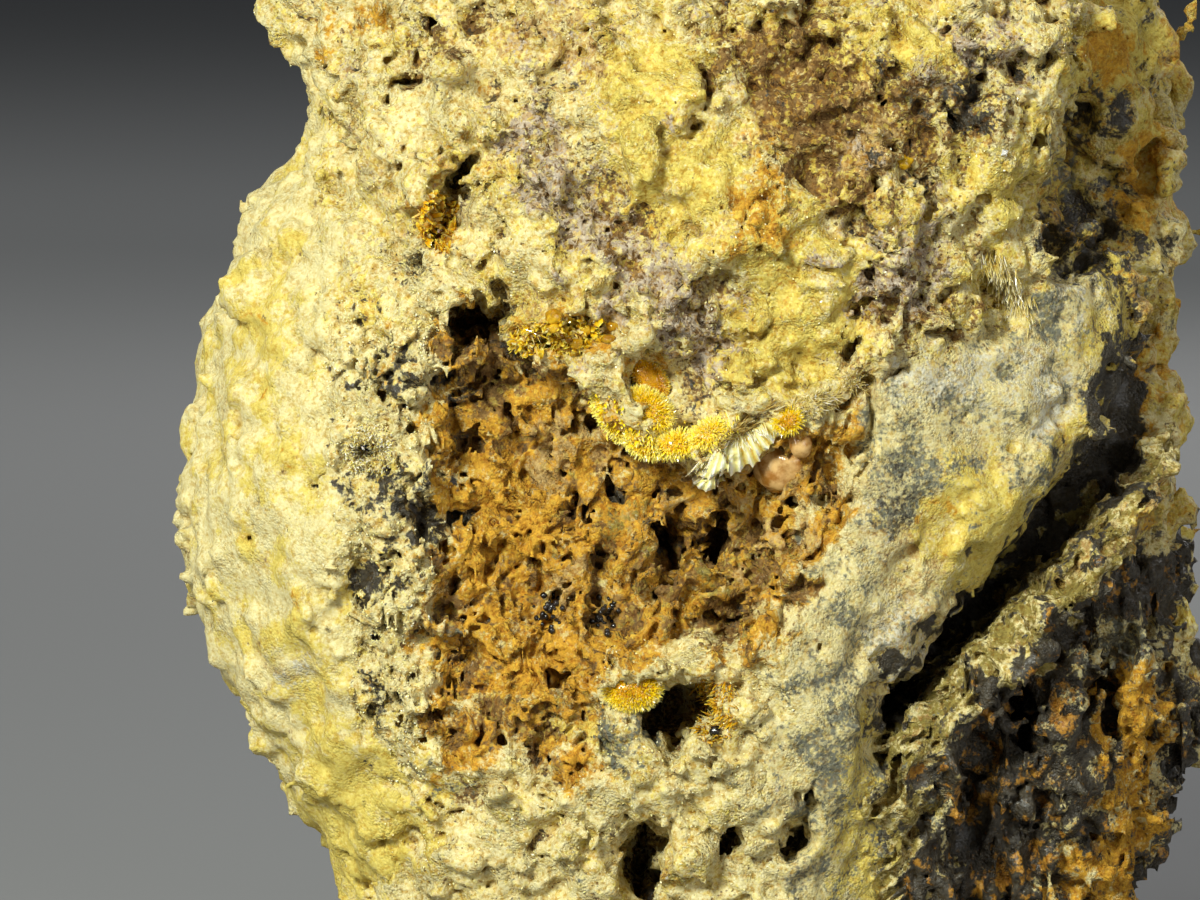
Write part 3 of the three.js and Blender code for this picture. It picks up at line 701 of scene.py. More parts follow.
def cut_cracks(d, at):
    """Cracks that branch, everywhere but on the flank, the slab and the rind."""
    crack = np.minimum(np.abs(noise(at.p, 6.5, 22)) * 2.4, np.abs(noise(at.p, 4.2, 23)) * 1.8 + 0.1)
    whole = np.clip(at.share["flank"] + at.share["slab"] + at.share["rind"], 0, 1)
    return np.maximum(d, np.minimum(0.1 - crack, d + CRACK_DEPTH) * (1 - whole) - OUTSIDE * whole)


def rock_distance(p):
    """The signed distance (mm) to the finished rock at points p."""
    at = Spots(p)
    d = warped_rock(at)
    for change in (add_relief, add_granules, add_blocks, add_grain, add_boxwork, add_rims,
                   cut_seam, cut_fissure, cut_pores, cut_cracks):
        d = change(d, at)
    return d.astype(np.float32)


SHELL = 3.0  # thickness of the fine pieces that cover the front, in mm
UNDER = 1.9  # how far the core lies below them, in mm
OVERLAP = 0.2  # how far one fine piece runs into the next, in mm
FLARE = 0.3  # how wide the rounded rim of a vug is, in mm
BAND = (-2.4, 1.8)  # the CAD distances between which the finished surface can lie, in mm
BESIDE = 1.6  # how far past a region's outline its piece is worked out, in mm
MOST = 3  # a grid's values stop at this, in mm
# Each fine piece's region, and the y that it goes back to, in mm.
REGION_BACK = {"crust": 1, "wall": -1, "recess": -4, "slab": 0, "lower": -2, "rear": 9, "flank": 9}


def sculpt(low, high, step, region=None):
    """The rock between two corners (mm) as a grid: its core, or one region of its front as a shell."""
    size = np.ceil((np.array(high) - low) / step).astype(int) + 1
    grid = Grid(low, step, np.zeros(size, np.float32))
    x, y, z = (grid.low[i] + step * np.arange(size[i], dtype=np.float32) for i in range(3))
    y_side, z_side = (a.ravel() for a in np.meshgrid(y, z, indexing="ij"))
    side, up = np.meshgrid(x, z, indexing="ij")
    for i in range(size[0]):
        p = np.stack([np.full(y_side.size, x[i], np.float32), y_side, z_side], 1)
        grid.values[i] = ROCK_GRID.at(p).reshape(size[1:])
    base = grid.values.copy()
    fine = (base > BAND[0]) & (base < BAND[1])
    if region:
        fine &= (map_at(MAPS[region], side, up) < BESIDE)[:, None, :]
    p = grid.points(fine)
    grid.values[fine] = rock_distance(p)
    cut_vugs(grid)
    if region:
        edge = np.full(grid.values.shape, OUTSIDE, np.float32)
        edge[fine] = map_at(MAPS[region], *front_coords(p)) - OVERLAP
        deep = base <= BAND[0]
        edge[deep] = np.broadcast_to(map_at(MAPS[region], side, up)[:, None, :], base.shape)[deep]
        grid.values = np.maximum(np.maximum(grid.values, edge), -(base + SHELL))
        behind = np.where(y < REGION_BACK[region], -OUTSIDE, OUTSIDE)
        grid.values = np.maximum(grid.values, behind[None, :, None])
    else:
        covered = covered_by_shells(base.shape, side, up, y)
        grid.values = np.maximum(grid.values, base + UNDER * covered - OUTSIDE * (covered == 0))
    grid.values = np.clip(np.maximum(grid.values, -z), -MOST, MOST)
    for axis in range(3):
        ends = [slice(None)] * 3
        for ends[axis] in (0, -1):
            grid.values[tuple(ends)] = MOST
    return grid


def covered_by_shells(shape, side, up, y):
    """How surely a fine piece lies in front of each sample, 0 to 1."""
    covered = np.zeros(shape, np.float32)
    for name, back in REGION_BACK.items():
        inside = smoothstep(-0.4, -1.6, map_at(MAPS[name], side, up))[:, None, :]
        covered = np.maximum(covered, inside * smoothstep(back, back - 2, y)[:, None])
    return covered


def cut_vugs(grid):
    """Carves the open vugs into a grid."""
    low, step = grid.low, grid.step
    for x, z, rx, rz, depth, tilt in VUGS:
        middle = np.array([x, rock_face(x, z), z])
        reach = np.array([max(rx, rz), depth, max(rx, rz)]) + 1
        first = np.clip(((middle - reach - low) / step).astype(int), 0, grid.values.shape)
        last = np.clip(((middle + reach - low) / step).astype(int) + 1, 0, grid.values.shape)
        if (last <= first).any():
            continue
        part = tuple(slice(a, b) for a, b in zip(first, last))
        ranges = (np.arange(a, b) for a, b in zip(first, last))
        index = np.stack(np.meshgrid(*ranges, indexing="ij"), -1)
        p = (low + index.reshape(-1, 3) * step).astype(np.float32)
        ragged = 0.34 * min(rx, rz, 1.2)
        push = [ragged * noise(p, 1.7, 24 + i) + 0.13 * noise(p, 0.7, i) for i in range(3)]
        q = p - middle + np.stack(push, 1)
        along, across = turned(q[:, 0], q[:, 2], tilt)
        r = np.sqrt((along / rx) ** 2 + (across / rz) ** 2 + (q[:, 1] / depth) ** 2)
        inside = ((1 - r) * min(rx, rz)).astype(np.float32).reshape(last - first)
        # A smooth maximum, so that the rim is flared.
        mixed = np.clip(0.5 + (grid.values[part] - inside) / FLARE / 2, 0, 1)
        grid.values[part] = inside + (grid.values[part] - inside) * mixed + FLARE * mixed * (1 - mixed)


def largest_piece(points, faces):
    """A mesh without its loose islands and sealed bubbles."""
    label = np.arange(len(points))
    edges = np.concatenate([faces[:, [i, (i + 1) % faces.shape[1]]] for i in range(faces.shape[1])])
    a, b = edges[:, 0].astype(np.int64), edges[:, 1].astype(np.int64)
    while True:
        low = np.minimum(label[a], label[b])
        before = label.copy()
        np.minimum.at(label, a, low)
        np.minimum.at(label, b, low)
        label = label[label]
        if (label == before).all():
            break
    kept = label[faces[:, 0].astype(np.int64)] == np.bincount(label).argmax()
    used, faces = np.unique(faces[kept], return_inverse=True)
    return points[used], faces.reshape(-1, faces.shape[-1] if faces.ndim > 1 else 4)


# ================================================================ meshes
def mesh_object(name, points, faces, smooth=True):
    """A mesh object from points in mm and faces with the same number of corners each."""
    mesh = bpy.data.meshes.new(name)
    count, corners = faces.shape
    mesh.vertices.add(len(points))
    mesh.vertices.foreach_set("co", (points * MM).astype(np.float32).ravel())
    mesh.loops.add(count * corners)
    mesh.loops.foreach_set("vertex_index", faces.astype(np.int32).ravel())
    mesh.polygons.add(count)
    mesh.polygons.foreach_set("loop_start", np.arange(0, count * corners, corners, dtype=np.int32))
    mesh.polygons.foreach_set("use_smooth", np.full(count, smooth))
    mesh.update(calc_edges=True)
    piece = bpy.data.objects.new(name, mesh)
    bpy.context.collection.objects.link(piece)
    return piece


def decimate(piece, triangles):
    """Takes a mesh down to about this many triangles, where it is smoothest first."""
    before = sum(len(p.vertices) - 2 for p in piece.data.polygons)
    if before <= triangles:
        return
    modifier = piece.modifiers.new("fewer", "DECIMATE")
    modifier.ratio = triangles / before
    modifier.use_collapse_triangulate = True
    rough = piece.data
    piece.data = bpy.data.meshes.new_from_object(
        piece.evaluated_get(bpy.context.evaluated_depsgraph_get()))
    piece.data.name = rough.name
    piece.modifiers.clear()
    bpy.data.meshes.remove(rough)


def points_of(piece):
    """A piece's vertices in mm."""
    points = np.zeros(len(piece.data.vertices) * 3, np.float32)
    piece.data.vertices.foreach_get("co", points)
    return points.reshape(-1, 3) / np.float32(MM)


def finish_piece(piece, nodes, material):
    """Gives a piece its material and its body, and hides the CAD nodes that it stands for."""
    piece.data.materials.clear()
    piece.data.materials.append(material)
    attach(piece, "root")
    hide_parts(*nodes)


# ================================================================ where the rock's colours lie
class Ground:
    """What the paint depends on at points p: noise, regions, hollows and patches."""

    def __init__(self, p):
        self.p = p
        self.middle, self.small, self.tiny = noise(p, 4.2, 6), noise(p, 1.8, 9), noise(p, 0.8, 13)
        self.other, self.third = noise(p, 5.5, 12), noise(p, 2.6, 15)
        u, w = front_coords(p)
        self.front = smoothstep(4.0, -2.0, p[:, 1])
        self.hollow = hollow_at(u, w, self.front)
        self.share = region_weights(p, u + 0.5 * self.middle + 0.3 * self.small,
                                    w + 0.5 * self.other + 0.3 * self.third, 0.9)
        self.plain = np.clip(1 - sum(self.share[n] for n in RELIEF), 0, 1)
        self.u = u + 0.4 * self.third + 0.2 * self.tiny
        self.w = w + 0.4 * self.small + 0.2 * noise(p, 0.8, 14)


def pigments_by_region(g):
    """How much of each pigment there is before the patches, by region and by noise, with painted shade where
    the surface lies deep in hollows.
    """
    crust, wall, recess, slab, lower, rear, lobe, rind, flank = g.share.values()
    middle, small, tiny, other, third = g.middle, g.small, g.tiny, g.other, g.third
    plain, hollow = g.plain, g.hollow
    # Painted shade: umber and dark where the surface lies deep below the CAD rock, in vugs, pits and cracks.
    deep_shade = smoothstep(-0.2, -1.3, ROCK_GRID.at(g.p) + 0.5 * hollow)
    streaks = wall * smoothstep(0.35, 0.9, veins(g.p)) * smoothstep(-0.3, 0.9, other + 0.4 * small)
    layers = rind_layers(g.p)
    net = np.abs(noise(g.p, 1.9, 14, (1, 1, 2)))
    mottles = smoothstep(0.5, 1.4, noise(g.p, 1.7, 8, (1, 1, 2.6)))
    cracks, number = blocks(g.p)
    broken = recess + 0.5 * lower + 0.3 * plain
    calm = (1 - flank) * (1 - slab) * (1 - rind) * (1 - lobe)
    low_flank = flank * smoothstep(26, 10, g.w)
    by_rear = smoothstep(1.8, 0.3, map_at(MAPS["rear"], g.u, g.w))
    return {
        "yellow": 0.38 * crust + 0.2 * wall + 0.3 * lower + 0.25 * slab + 0.62 * rear + 0.3 * rind
        + plain * (0.34 + 0.2 * middle) + flank * (0.32 + 0.14 * third + 0.3 * mottles)
        + 0.1 * low_flank + 0.12 * middle * calm + 0.08 * other + 0.45 * slab * by_rear,
        "ochre": 0.12 * crust + 0.1 * wall + recess * (0.9 + 0.15 * third) + 0.12 * lower
        + 0.45 * rear + 0.24 * flank * mottles + plain * (0.24 + 0.2 * third) + 0.12 * other * calm
        + 0.3 * rind * (layers > 0.9),
        "tan": 0.2 * crust + 0.35 * recess * (number > 0.6) + 0.12 * other + 0.3 * rear
        + plain * (0.24 - 0.16 * middle) + 0.34 * slab + 0.5 * hollow + 0.08 * flank
        + 0.12 * flank * small + 0.45 * rind,
        "olive": 0.12 * wall + 0.12 * recess + 0.3 * rear + 0.68 * rind + 0.1 * third + 0.06 * lower
        + 0.15 * recess * smoothstep(0, 1.2, other),
        "lilac": (0.14 + 0.14 * third) * (crust + plain),
        "umber": 0.12 * crust + 0.45 * recess * (number < 0.3)
        + 0.36 * recess * smoothstep(0, 1.2, -other) + 0.06 * lower + 0.12 * rear
        + plain * (0.2 + 0.24 * other) + 0.3 * hollow + 0.5 * deep_shade * (1 - rear) + 0.12 * small * calm
        + 0.25 * rind + 0.3 * broken * smoothstep(0.16, 0.03, cracks),
        "pale": 0.22 * slab + 0.06 * crust + 0.1 * other * (1 - lobe) + 0.1 * flank * (1 + middle),
        "blue": 0.15 * lower + slab * (0.49 + 0.05 * small + 0.07 * third + 0.06 * tiny) + 0.1 * rear
        + 0.06 * third * (1 - flank) + 0.4 * rind * smoothstep(0.45, 0.0, np.abs(layers + 0.35)),
        "dark": 0.02 + 0.4 * deep_shade * (1 - flank) + 1.15 * lobe + 0.12 * slab + 0.1 * rear
        + 0.3 * rear * smoothstep(0.2, 1.2, -other - 0.4 * third) + 0.5 * streaks
        + 0.08 * small * calm + 0.1 * wall + 0.12 * tiny * crust
        + 0.7 * rind * smoothstep(0.35, 0.0, np.abs(layers - 0.4))
        + 0.3 * plain * smoothstep(0.6, 1.6, -third) + 0.3 * flank * smoothstep(1.2, 2.0, small),
        "rust": lobe * (0.6 * smoothstep(0.45, 0.05, net) + 0.12 * small + 0.1),
    }


def add_patches(mask, g):
    """Adds the patches: each adds its own pigment and holds back those painted over it."""
    mottle = np.clip(0.85 + 0.25 * g.small + 0.18 * g.tiny, 0.3, 1.3)
    ragged = 0.16 * g.small + 0.1 * g.tiny
    for i, pigment in enumerate(PIGMENTS):
        for x, z, rx, rz, strength in PATCHES[pigment]:
            r = np.hypot((g.u - x) / rx, (g.w - z) / rz) + ragged
            here = strength * g.front * smoothstep(1.5, 0.4, r)
            mask[pigment] = mask[pigment] + mottle * here
            for later in PIGMENTS[i + 1:]:
                mask[later] = mask[later] * (1 - HOLD_BACK * here)


def gap_shade(g):
    """Painted shade in the gap between the slab and the rear and in the fissure, 0 to 1."""
    past_slab = map_at(MAPS["slab"], g.u, g.w)
    gap = smoothstep(0.4, 0.9, past_slab) * smoothstep(2.6, 1.6, past_slab) * (1 - g.share["rind"])
    gap = gap * (g.w < 32) * (g.u > 8)
    return np.maximum(gap, smoothstep(0.5, 0.0, from_fissure(g.u, g.w))) * g.front


def textures(g):
    """How pitted, soft, speckled and flecked the surface is."""
    crust, wall, recess, slab, lower, rear, lobe, rind, flank = g.share.values()
    coarse, calm = (g.front * patch_weight(g.u, g.w, pigments) for pigments in (COARSE, CALM))
    return {
        "pitted": 0.5 * crust + 0.6 * wall + 0.5 * recess + 0.55 * lower + 0.25 * slab + 0.4 * rear
        + 0.3 * rind + 0.4 * lobe + 0.4 * g.plain + 0.3 * flank + 0.5 * coarse * crust - 0.25 * calm,
        "soft": 0.4 * flank + 0.4 * slab + 0.2 * rear,
        "speckled": np.clip(slab + 0.5 * crust + 0.3 * lower + 0.4 * flank, 0, 1),
        "flecked": 0.9 * crust + 0.7 * wall + 0.6 * lower + 0.5 * g.plain + 0.5 * recess + 0.3 * slab
        + 0.3 * rear,
    }


def paint(piece):
    """Writes on a rock piece where each pigment lies, 0 to 1, and what its texture is."""
    g = Ground(points_of(piece))
    mask = pigments_by_region(g)
    add_patches(mask, g)
    for pigment in PIGMENTS:
        most = MOST_COVER + (0.3 * g.share["lobe"] if pigment == "dark" else 0)
        mask[pigment] = np.minimum(mask[pigment], most) - STRAY
    # Painted shade: dark in the gap and the fissure.
    mask["dark"] = np.maximum(mask["dark"], gap_shade(g))
    mask.update(textures(g))
    for name, values in mask.items():
        layer = piece.data.attributes.new(name, "FLOAT", "POINT")
        layer.data.foreach_set("value", np.clip(values, -0.2, 1.4).astype(np.float32))


# ================================================================ materials
def colour(code):
    """A linear colour from #rrggbb."""
    parts = (int(code[i:i + 2], 16) / 255 for i in (1, 3, 5))
    return tuple(c / 12.92 if c <= 0.04045 else ((c + 0.055) / 1.055) ** 2.4 for c in parts) + (1,)


class Finish:
    """A node material being built. Inputs are sockets or plain values."""

    def __init__(self, name):
        self.material = bpy.data.materials.new(name)
        self.material.use_nodes = True
        self.nodes = self.material.node_tree.nodes
        self.shader = self.nodes["Principled BSDF"]
        self.place = self.add("ShaderNodeTexCoord").outputs["Object"]

    def add(self, kind, inputs=None, **settings):
        node = self.nodes.new(kind)
        for name, value in settings.items():
            setattr(node, name, value)
        for name, value in (inputs or {}).items():
            self.put(node.inputs[name], value)
        return node

    def put(self, socket, value):
        if isinstance(value, bpy.types.NodeSocket):
            self.material.node_tree.links.new(value, socket)
        else:
            socket.default_value = value

    def sum(self, a, b, operation="ADD", clamp=False):
        node = self.add("ShaderNodeMath", {0: a, 1: b}, operation=operation, use_clamp=clamp)
        return node.outputs[0]

    def product(self, a, b):
        return self.sum(a, b, "MULTIPLY")

    def less(self, a, b):
        return self.sum(a, b, "SUBTRACT")

    def centred(self, value):
        """A value from 0 to 1, moved to lie round 0."""
        return self.less(value, 0.5)

    def step(self, value, low, high, to_low=0.0, to_high=1.0):
        """Goes smoothly from to_low to to_high as value goes from low to high."""
        node = self.add("ShaderNodeMapRange", {0: value, 1: low, 2: high, 3: to_low, 4: to_high},
                        interpolation_type="SMOOTHSTEP")
        return node.outputs[0]

    def mix(self, factor, a, b, blend="MIX"):
        node = self.add("ShaderNodeMix", data_type="RGBA", blend_type=blend)
        for socket, value in zip((node.inputs[0], node.inputs[6], node.inputs[7]), (factor, a, b)):
            self.put(socket, value)
        return node.outputs[2]

    def channels(self, node):
        """Three unlike values, 0 to 1, from a texture node's colour."""
        parts = self.add("ShaderNodeSeparateColor", {"Color": node.outputs["Color"]})
        return [parts.outputs[i] for i in range(3)]

    def noise(self, size_mm, detail=3.0, roughness=0.55):
        """A noise texture with lumps of this size."""
        return self.add("ShaderNodeTexNoise", {
            "Vector": self.place, "Scale": 1 / (size_mm * MM), "Detail": detail,
            "Roughness": roughness})

    def cells(self, size_mm):
        return self.add("ShaderNodeTexVoronoi", {"Vector": self.place, "Scale": 1 / (size_mm * MM)})

    def bump(self, height, strength, distance_mm):
        return self.add("ShaderNodeBump", {
            "Height": height, "Strength": strength, "Distance": distance_mm * MM}).outputs[0]

    def mask(self, name):
        return self.add("ShaderNodeAttribute", attribute_name=name).outputs["Fac"]

    def set(self, **values):
        for name, value in values.items():
            self.put(self.shader.inputs[name.replace("_", " ")], value)


FINE_HOLLOW_SHADE = (0.7, 0.53, 0.24, 1)  # painted shade: what is left of the colour in the finest hollows of the bump
CREASE_SHADE = (0.48, 0.35, 0.11)  # painted shade: what is left of red, green and blue in the deepest creases
PALETTE = {
    # pigment: (light shade, deep shade)
    "cream": ("#EAE2B6", "#C2AC5E"), "yellow": ("#EADA7A", "#B6982E"), "ochre": ("#E8B234", "#92631A"),
    "tan": ("#D4B474", "#8A6A38"), "olive": ("#A8964A", "#605222"), "lilac": ("#D2C4AE", "#88725A"),
    "umber": ("#9C7840", "#4E3518"), "pale": ("#E8E4D0", "#A8A082"), "blue": ("#8E8C78", "#45463C"),
    "dark": ("#5A5346", "#17120C"), "rust": ("#D09A3C", "#7E5420"),
}
# The dark brown of the small pits: painted shade, since the pits are only in the bump.
PIT_SHADE = "#583A0A"
FLECKS = ("#F0DC60", "#C4932C")  # small crystals of other colours, strewn about


class RockFinish(Finish):
    """The rock's material: a cream ground under pigments that lie where the masks on the mesh say."""

    def __init__(self):
        super().__init__("rock")
        self.broad = self.channels(self.noise(0.9, 4.0, 0.6))
        self.fine = self.channels(self.noise(0.24, 3.0, 0.6))
        grains = self.cells(0.15)
        self.grain, self.grain_height = self.channels(grains), grains.outputs["Distance"]
        soft, speckled = self.mask("soft"), self.mask("speckled")
        self.rough = self.less(1.0, self.product(soft, 0.45))
        self.grainy = self.less(1.0, self.product(soft, 0.7))
        self.edges = self.step(soft, 0, 1, 0.33, 0.15), self.step(soft, 0, 1, 0.67, 0.85)
        self.broad_weight = self.step(speckled, 0, 1, 1.5, 0.8)
        self.fine_weight = self.step(speckled, 0, 1, 1.2, 2.0)
        self.pits = self.small_pits()

    def small_pits(self):
        """Where the small pits are, 0 to 1."""
        rim = self.step(self.mask("pitted"), 0, 1, 0.74, 0.56)
        return self.step(self.noise(0.34, 3.0, 0.6).outputs[0], rim, self.sum(rim, 0.07))

    def shade(self, pigment, channel):
        """A pigment's colour, which wanders between its light and its deep shade."""
        light, deep = (colour(code) for code in PALETTE[pigment])
        amount = self.product(self.centred(self.grain[channel]), 0.4)
        amount = self.sum(amount, self.centred(self.fine[channel]))
        amount = self.sum(self.product(amount, self.grainy), 0.5, clamp=True)
        return self.mix(amount, deep, light)

    def cover(self, pigment, i):
        """Where a pigment lies, 0 to 1. Its edge is ragged, by channels of noise of its own."""
        stray = self.sum(self.product(self.centred(self.broad[i % 3]), self.broad_weight),
                         self.product(self.centred(self.fine[(i + 1) % 3]), self.fine_weight))
        stray = self.sum(stray, self.product(self.centred(self.grain[(i + 2) % 3]), 0.2))
        return self.step(self.sum(self.mask(pigment), self.product(stray, self.rough)), *self.edges)

    def add_flecks(self, base, dark_cover):
        """Flecks of other colours, fewer of them on dark ground."""
        fleck = self.channels(self.cells(0.22))
        ground = self.less(0.4, self.product(dark_cover, 0.4))
        ground = self.product(self.mask("flecked"), ground)
        for i, code in enumerate(FLECKS):
            base = self.mix(self.product(self.step(fleck[i], 0.8, 0.9), ground), base, colour(code))
        return base

    def paint_crease_shade(self, base, height):
        """Painted shade: brown in the creases that the mesh's pointiness finds, and a deeper colour in the
        finest hollows of the bump's height.
        """
        crease = self.add("ShaderNodeNewGeometry").outputs["Pointiness"]
        # Painted shade in the creases.
        crease_shade = self.add("ShaderNodeCombineColor", {
            i: self.step(crease, 0.36, 0.485, low, 1.0) for i, low in enumerate(CREASE_SHADE)})
        base = self.mix(1.0, base, crease_shade.outputs[0], "MULTIPLY")
        # Painted shade where the bump's height is low.
        low_place_shade = self.product(self.step(height, 0.52, 0.36), self.grainy)
        return self.mix(low_place_shade, base, self.mix(1.0, base, FINE_HOLLOW_SHADE, "MULTIPLY"))

    def relief(self, height):
        """The bump: grains and pits, stronger in some stretches than in others."""
        height = self.sum(height, self.product(self.grain_height, -0.6))
        height = self.sum(height, self.product(self.pits, -0.5))
        stretches = self.noise(1.6, 3.0, 0.6).outputs[0]
        strength = self.product(self.grainy, self.step(stretches, 0.38, 0.62, 0.25, 1.0))
        return self.bump(height, strength, 0.2)


def rock_finish():
    f = RockFinish()
    base = f.shade("cream", 0)
    for i, pigment in enumerate(PIGMENTS):
        cover = f.cover(pigment, i)
        if pigment == "dark":
            dark_cover = cover
        base = f.mix(cover, base, f.shade(pigment, i % 3))
    base = f.add_flecks(base, dark_cover)
    # Painted shade: the small pits are coloured dark brown.
    base = f.mix(f.product(f.pits, 0.85), base, colour(PIT_SHADE))
    height = f.noise(0.3, 5.0, 0.7).outputs[0]
    f.set(Base_Color=f.paint_crease_shade(base, height), Roughness=f.step(dark_cover, 0, 1, 0.82, 0.34),
          Normal=f.relief(height), Specular_IOR_Level=0.35)
    return f.material


# ================================================================ the rock
COARSER = 1
ROCK_PIECES = {
    # name: (region, low corner, high corner, grid step, most triangles), in mm
    "rock_body": (None, (-29, -23, -1), (29, 23, 65), 0.5, 112000),
    "rock_crust": ("crust", (-24.5, -23.5, 27), (21.5, 3, 56.5), 0.2, 145000),
    "rock_left_wall": ("wall", (-20.5, -22, 10), (-10.5, 1, 39), 0.2, 45000),
    "rock_recess": ("recess", (-14.5, -22, 12), (10.5, -3, 38.5), 0.17, 115000),
    "rock_slab": ("slab", (2.5, -21.5, -1), (24, 1, 41), 0.2, 75000),
    "rock_lower": ("lower", (-17, -21.5, -1), (6.5, 0, 21), 0.2, 75000),
    "rock_flank": ("flank", (-29.5, -20, -1), (-13, 11, 56.5), 0.25, 65000),
    "rock_rear": ("rear", (7.5, -18, -1), (29, 11, 56.5), 0.22, 120000),
}


def rock_piece(name, material):
    region, low, high, step, most = ROCK_PIECES[name]
    grid = sculpt(low, high, step * COARSER, region)
    piece = mesh_object(name, *largest_piece(*grid.mesh()))
    decimate(piece, most)
    paint(piece)
    finish_piece(piece, [ROCK], material)
    return piece


rock = rock_finish()
rock_pieces = [rock_piece(name, rock) for name in ROCK_PIECES]

# ================================================================ crystals
depsgraph = bpy.context.evaluated_depsgraph_get()
TREES = [BVHTree.FromObject(piece, depsgraph) for piece in rock_pieces]


def surface(x, z):
    """Where a line from the front at x, z first meets the rock: its y, in mm."""
    start = Vector((x, -60, z)) * MM
    hits = (tree.ray_cast(start, Vector((0, 1, 0)))[0] for tree in TREES)
    return min((hit.y / MM for hit in hits if hit), default=0.0)


def surfaces(x, z):
    """surface() for each of many x and z."""
    return np.array([surface(a, b) for a, b in zip(x, z)])


def normals_of(piece):
    """Which way a piece's vertices look."""
    normals = np.zeros(len(piece.data.vertices) * 3, np.float32)
    piece.data.vertices.foreach_get("normal", normals)
    return normals.reshape(-1, 3)


DEEPEST_ROOT = -2.2  # how far inside the CAD rock a crystal may grow, in mm
# Every vertex of the fine pieces that looks forwards, and which way it looks: crystals grow here.
FACE_POINTS = np.concatenate([points_of(piece) for piece in rock_pieces[1:]])
FACE_NORMALS = np.concatenate([normals_of(piece) for piece in rock_pieces[1:]])
LOOKS_OUT = (FACE_NORMALS[:, 1] < 0.1) & (ROCK_GRID.at(FACE_POINTS) > DEEPEST_ROOT)
FACE_POINTS, FACE_NORMALS = FACE_POINTS[LOOKS_OUT], FACE_NORMALS[LOOKS_OUT]


def ball(detail):
    """A unit sphere's points and triangles."""
    mesh = bpy.data.meshes.new("ball")
    shape = bmesh.new()
    bmesh.ops.create_icosphere(shape, subdivisions=detail, radius=1)
    shape.to_mesh(mesh)
    shape.free()
    points = np.array([v.co[:] for v in mesh.vertices])
    faces = np.array([p.vertices[:] for p in mesh.polygons])
    bpy.data.meshes.remove(mesh)
    return points, faces


SINK = 0.05  # how deep roots are set in the rock, in mm
RIB_STEPS = 8  # how many columns of points a rib of a sheet has


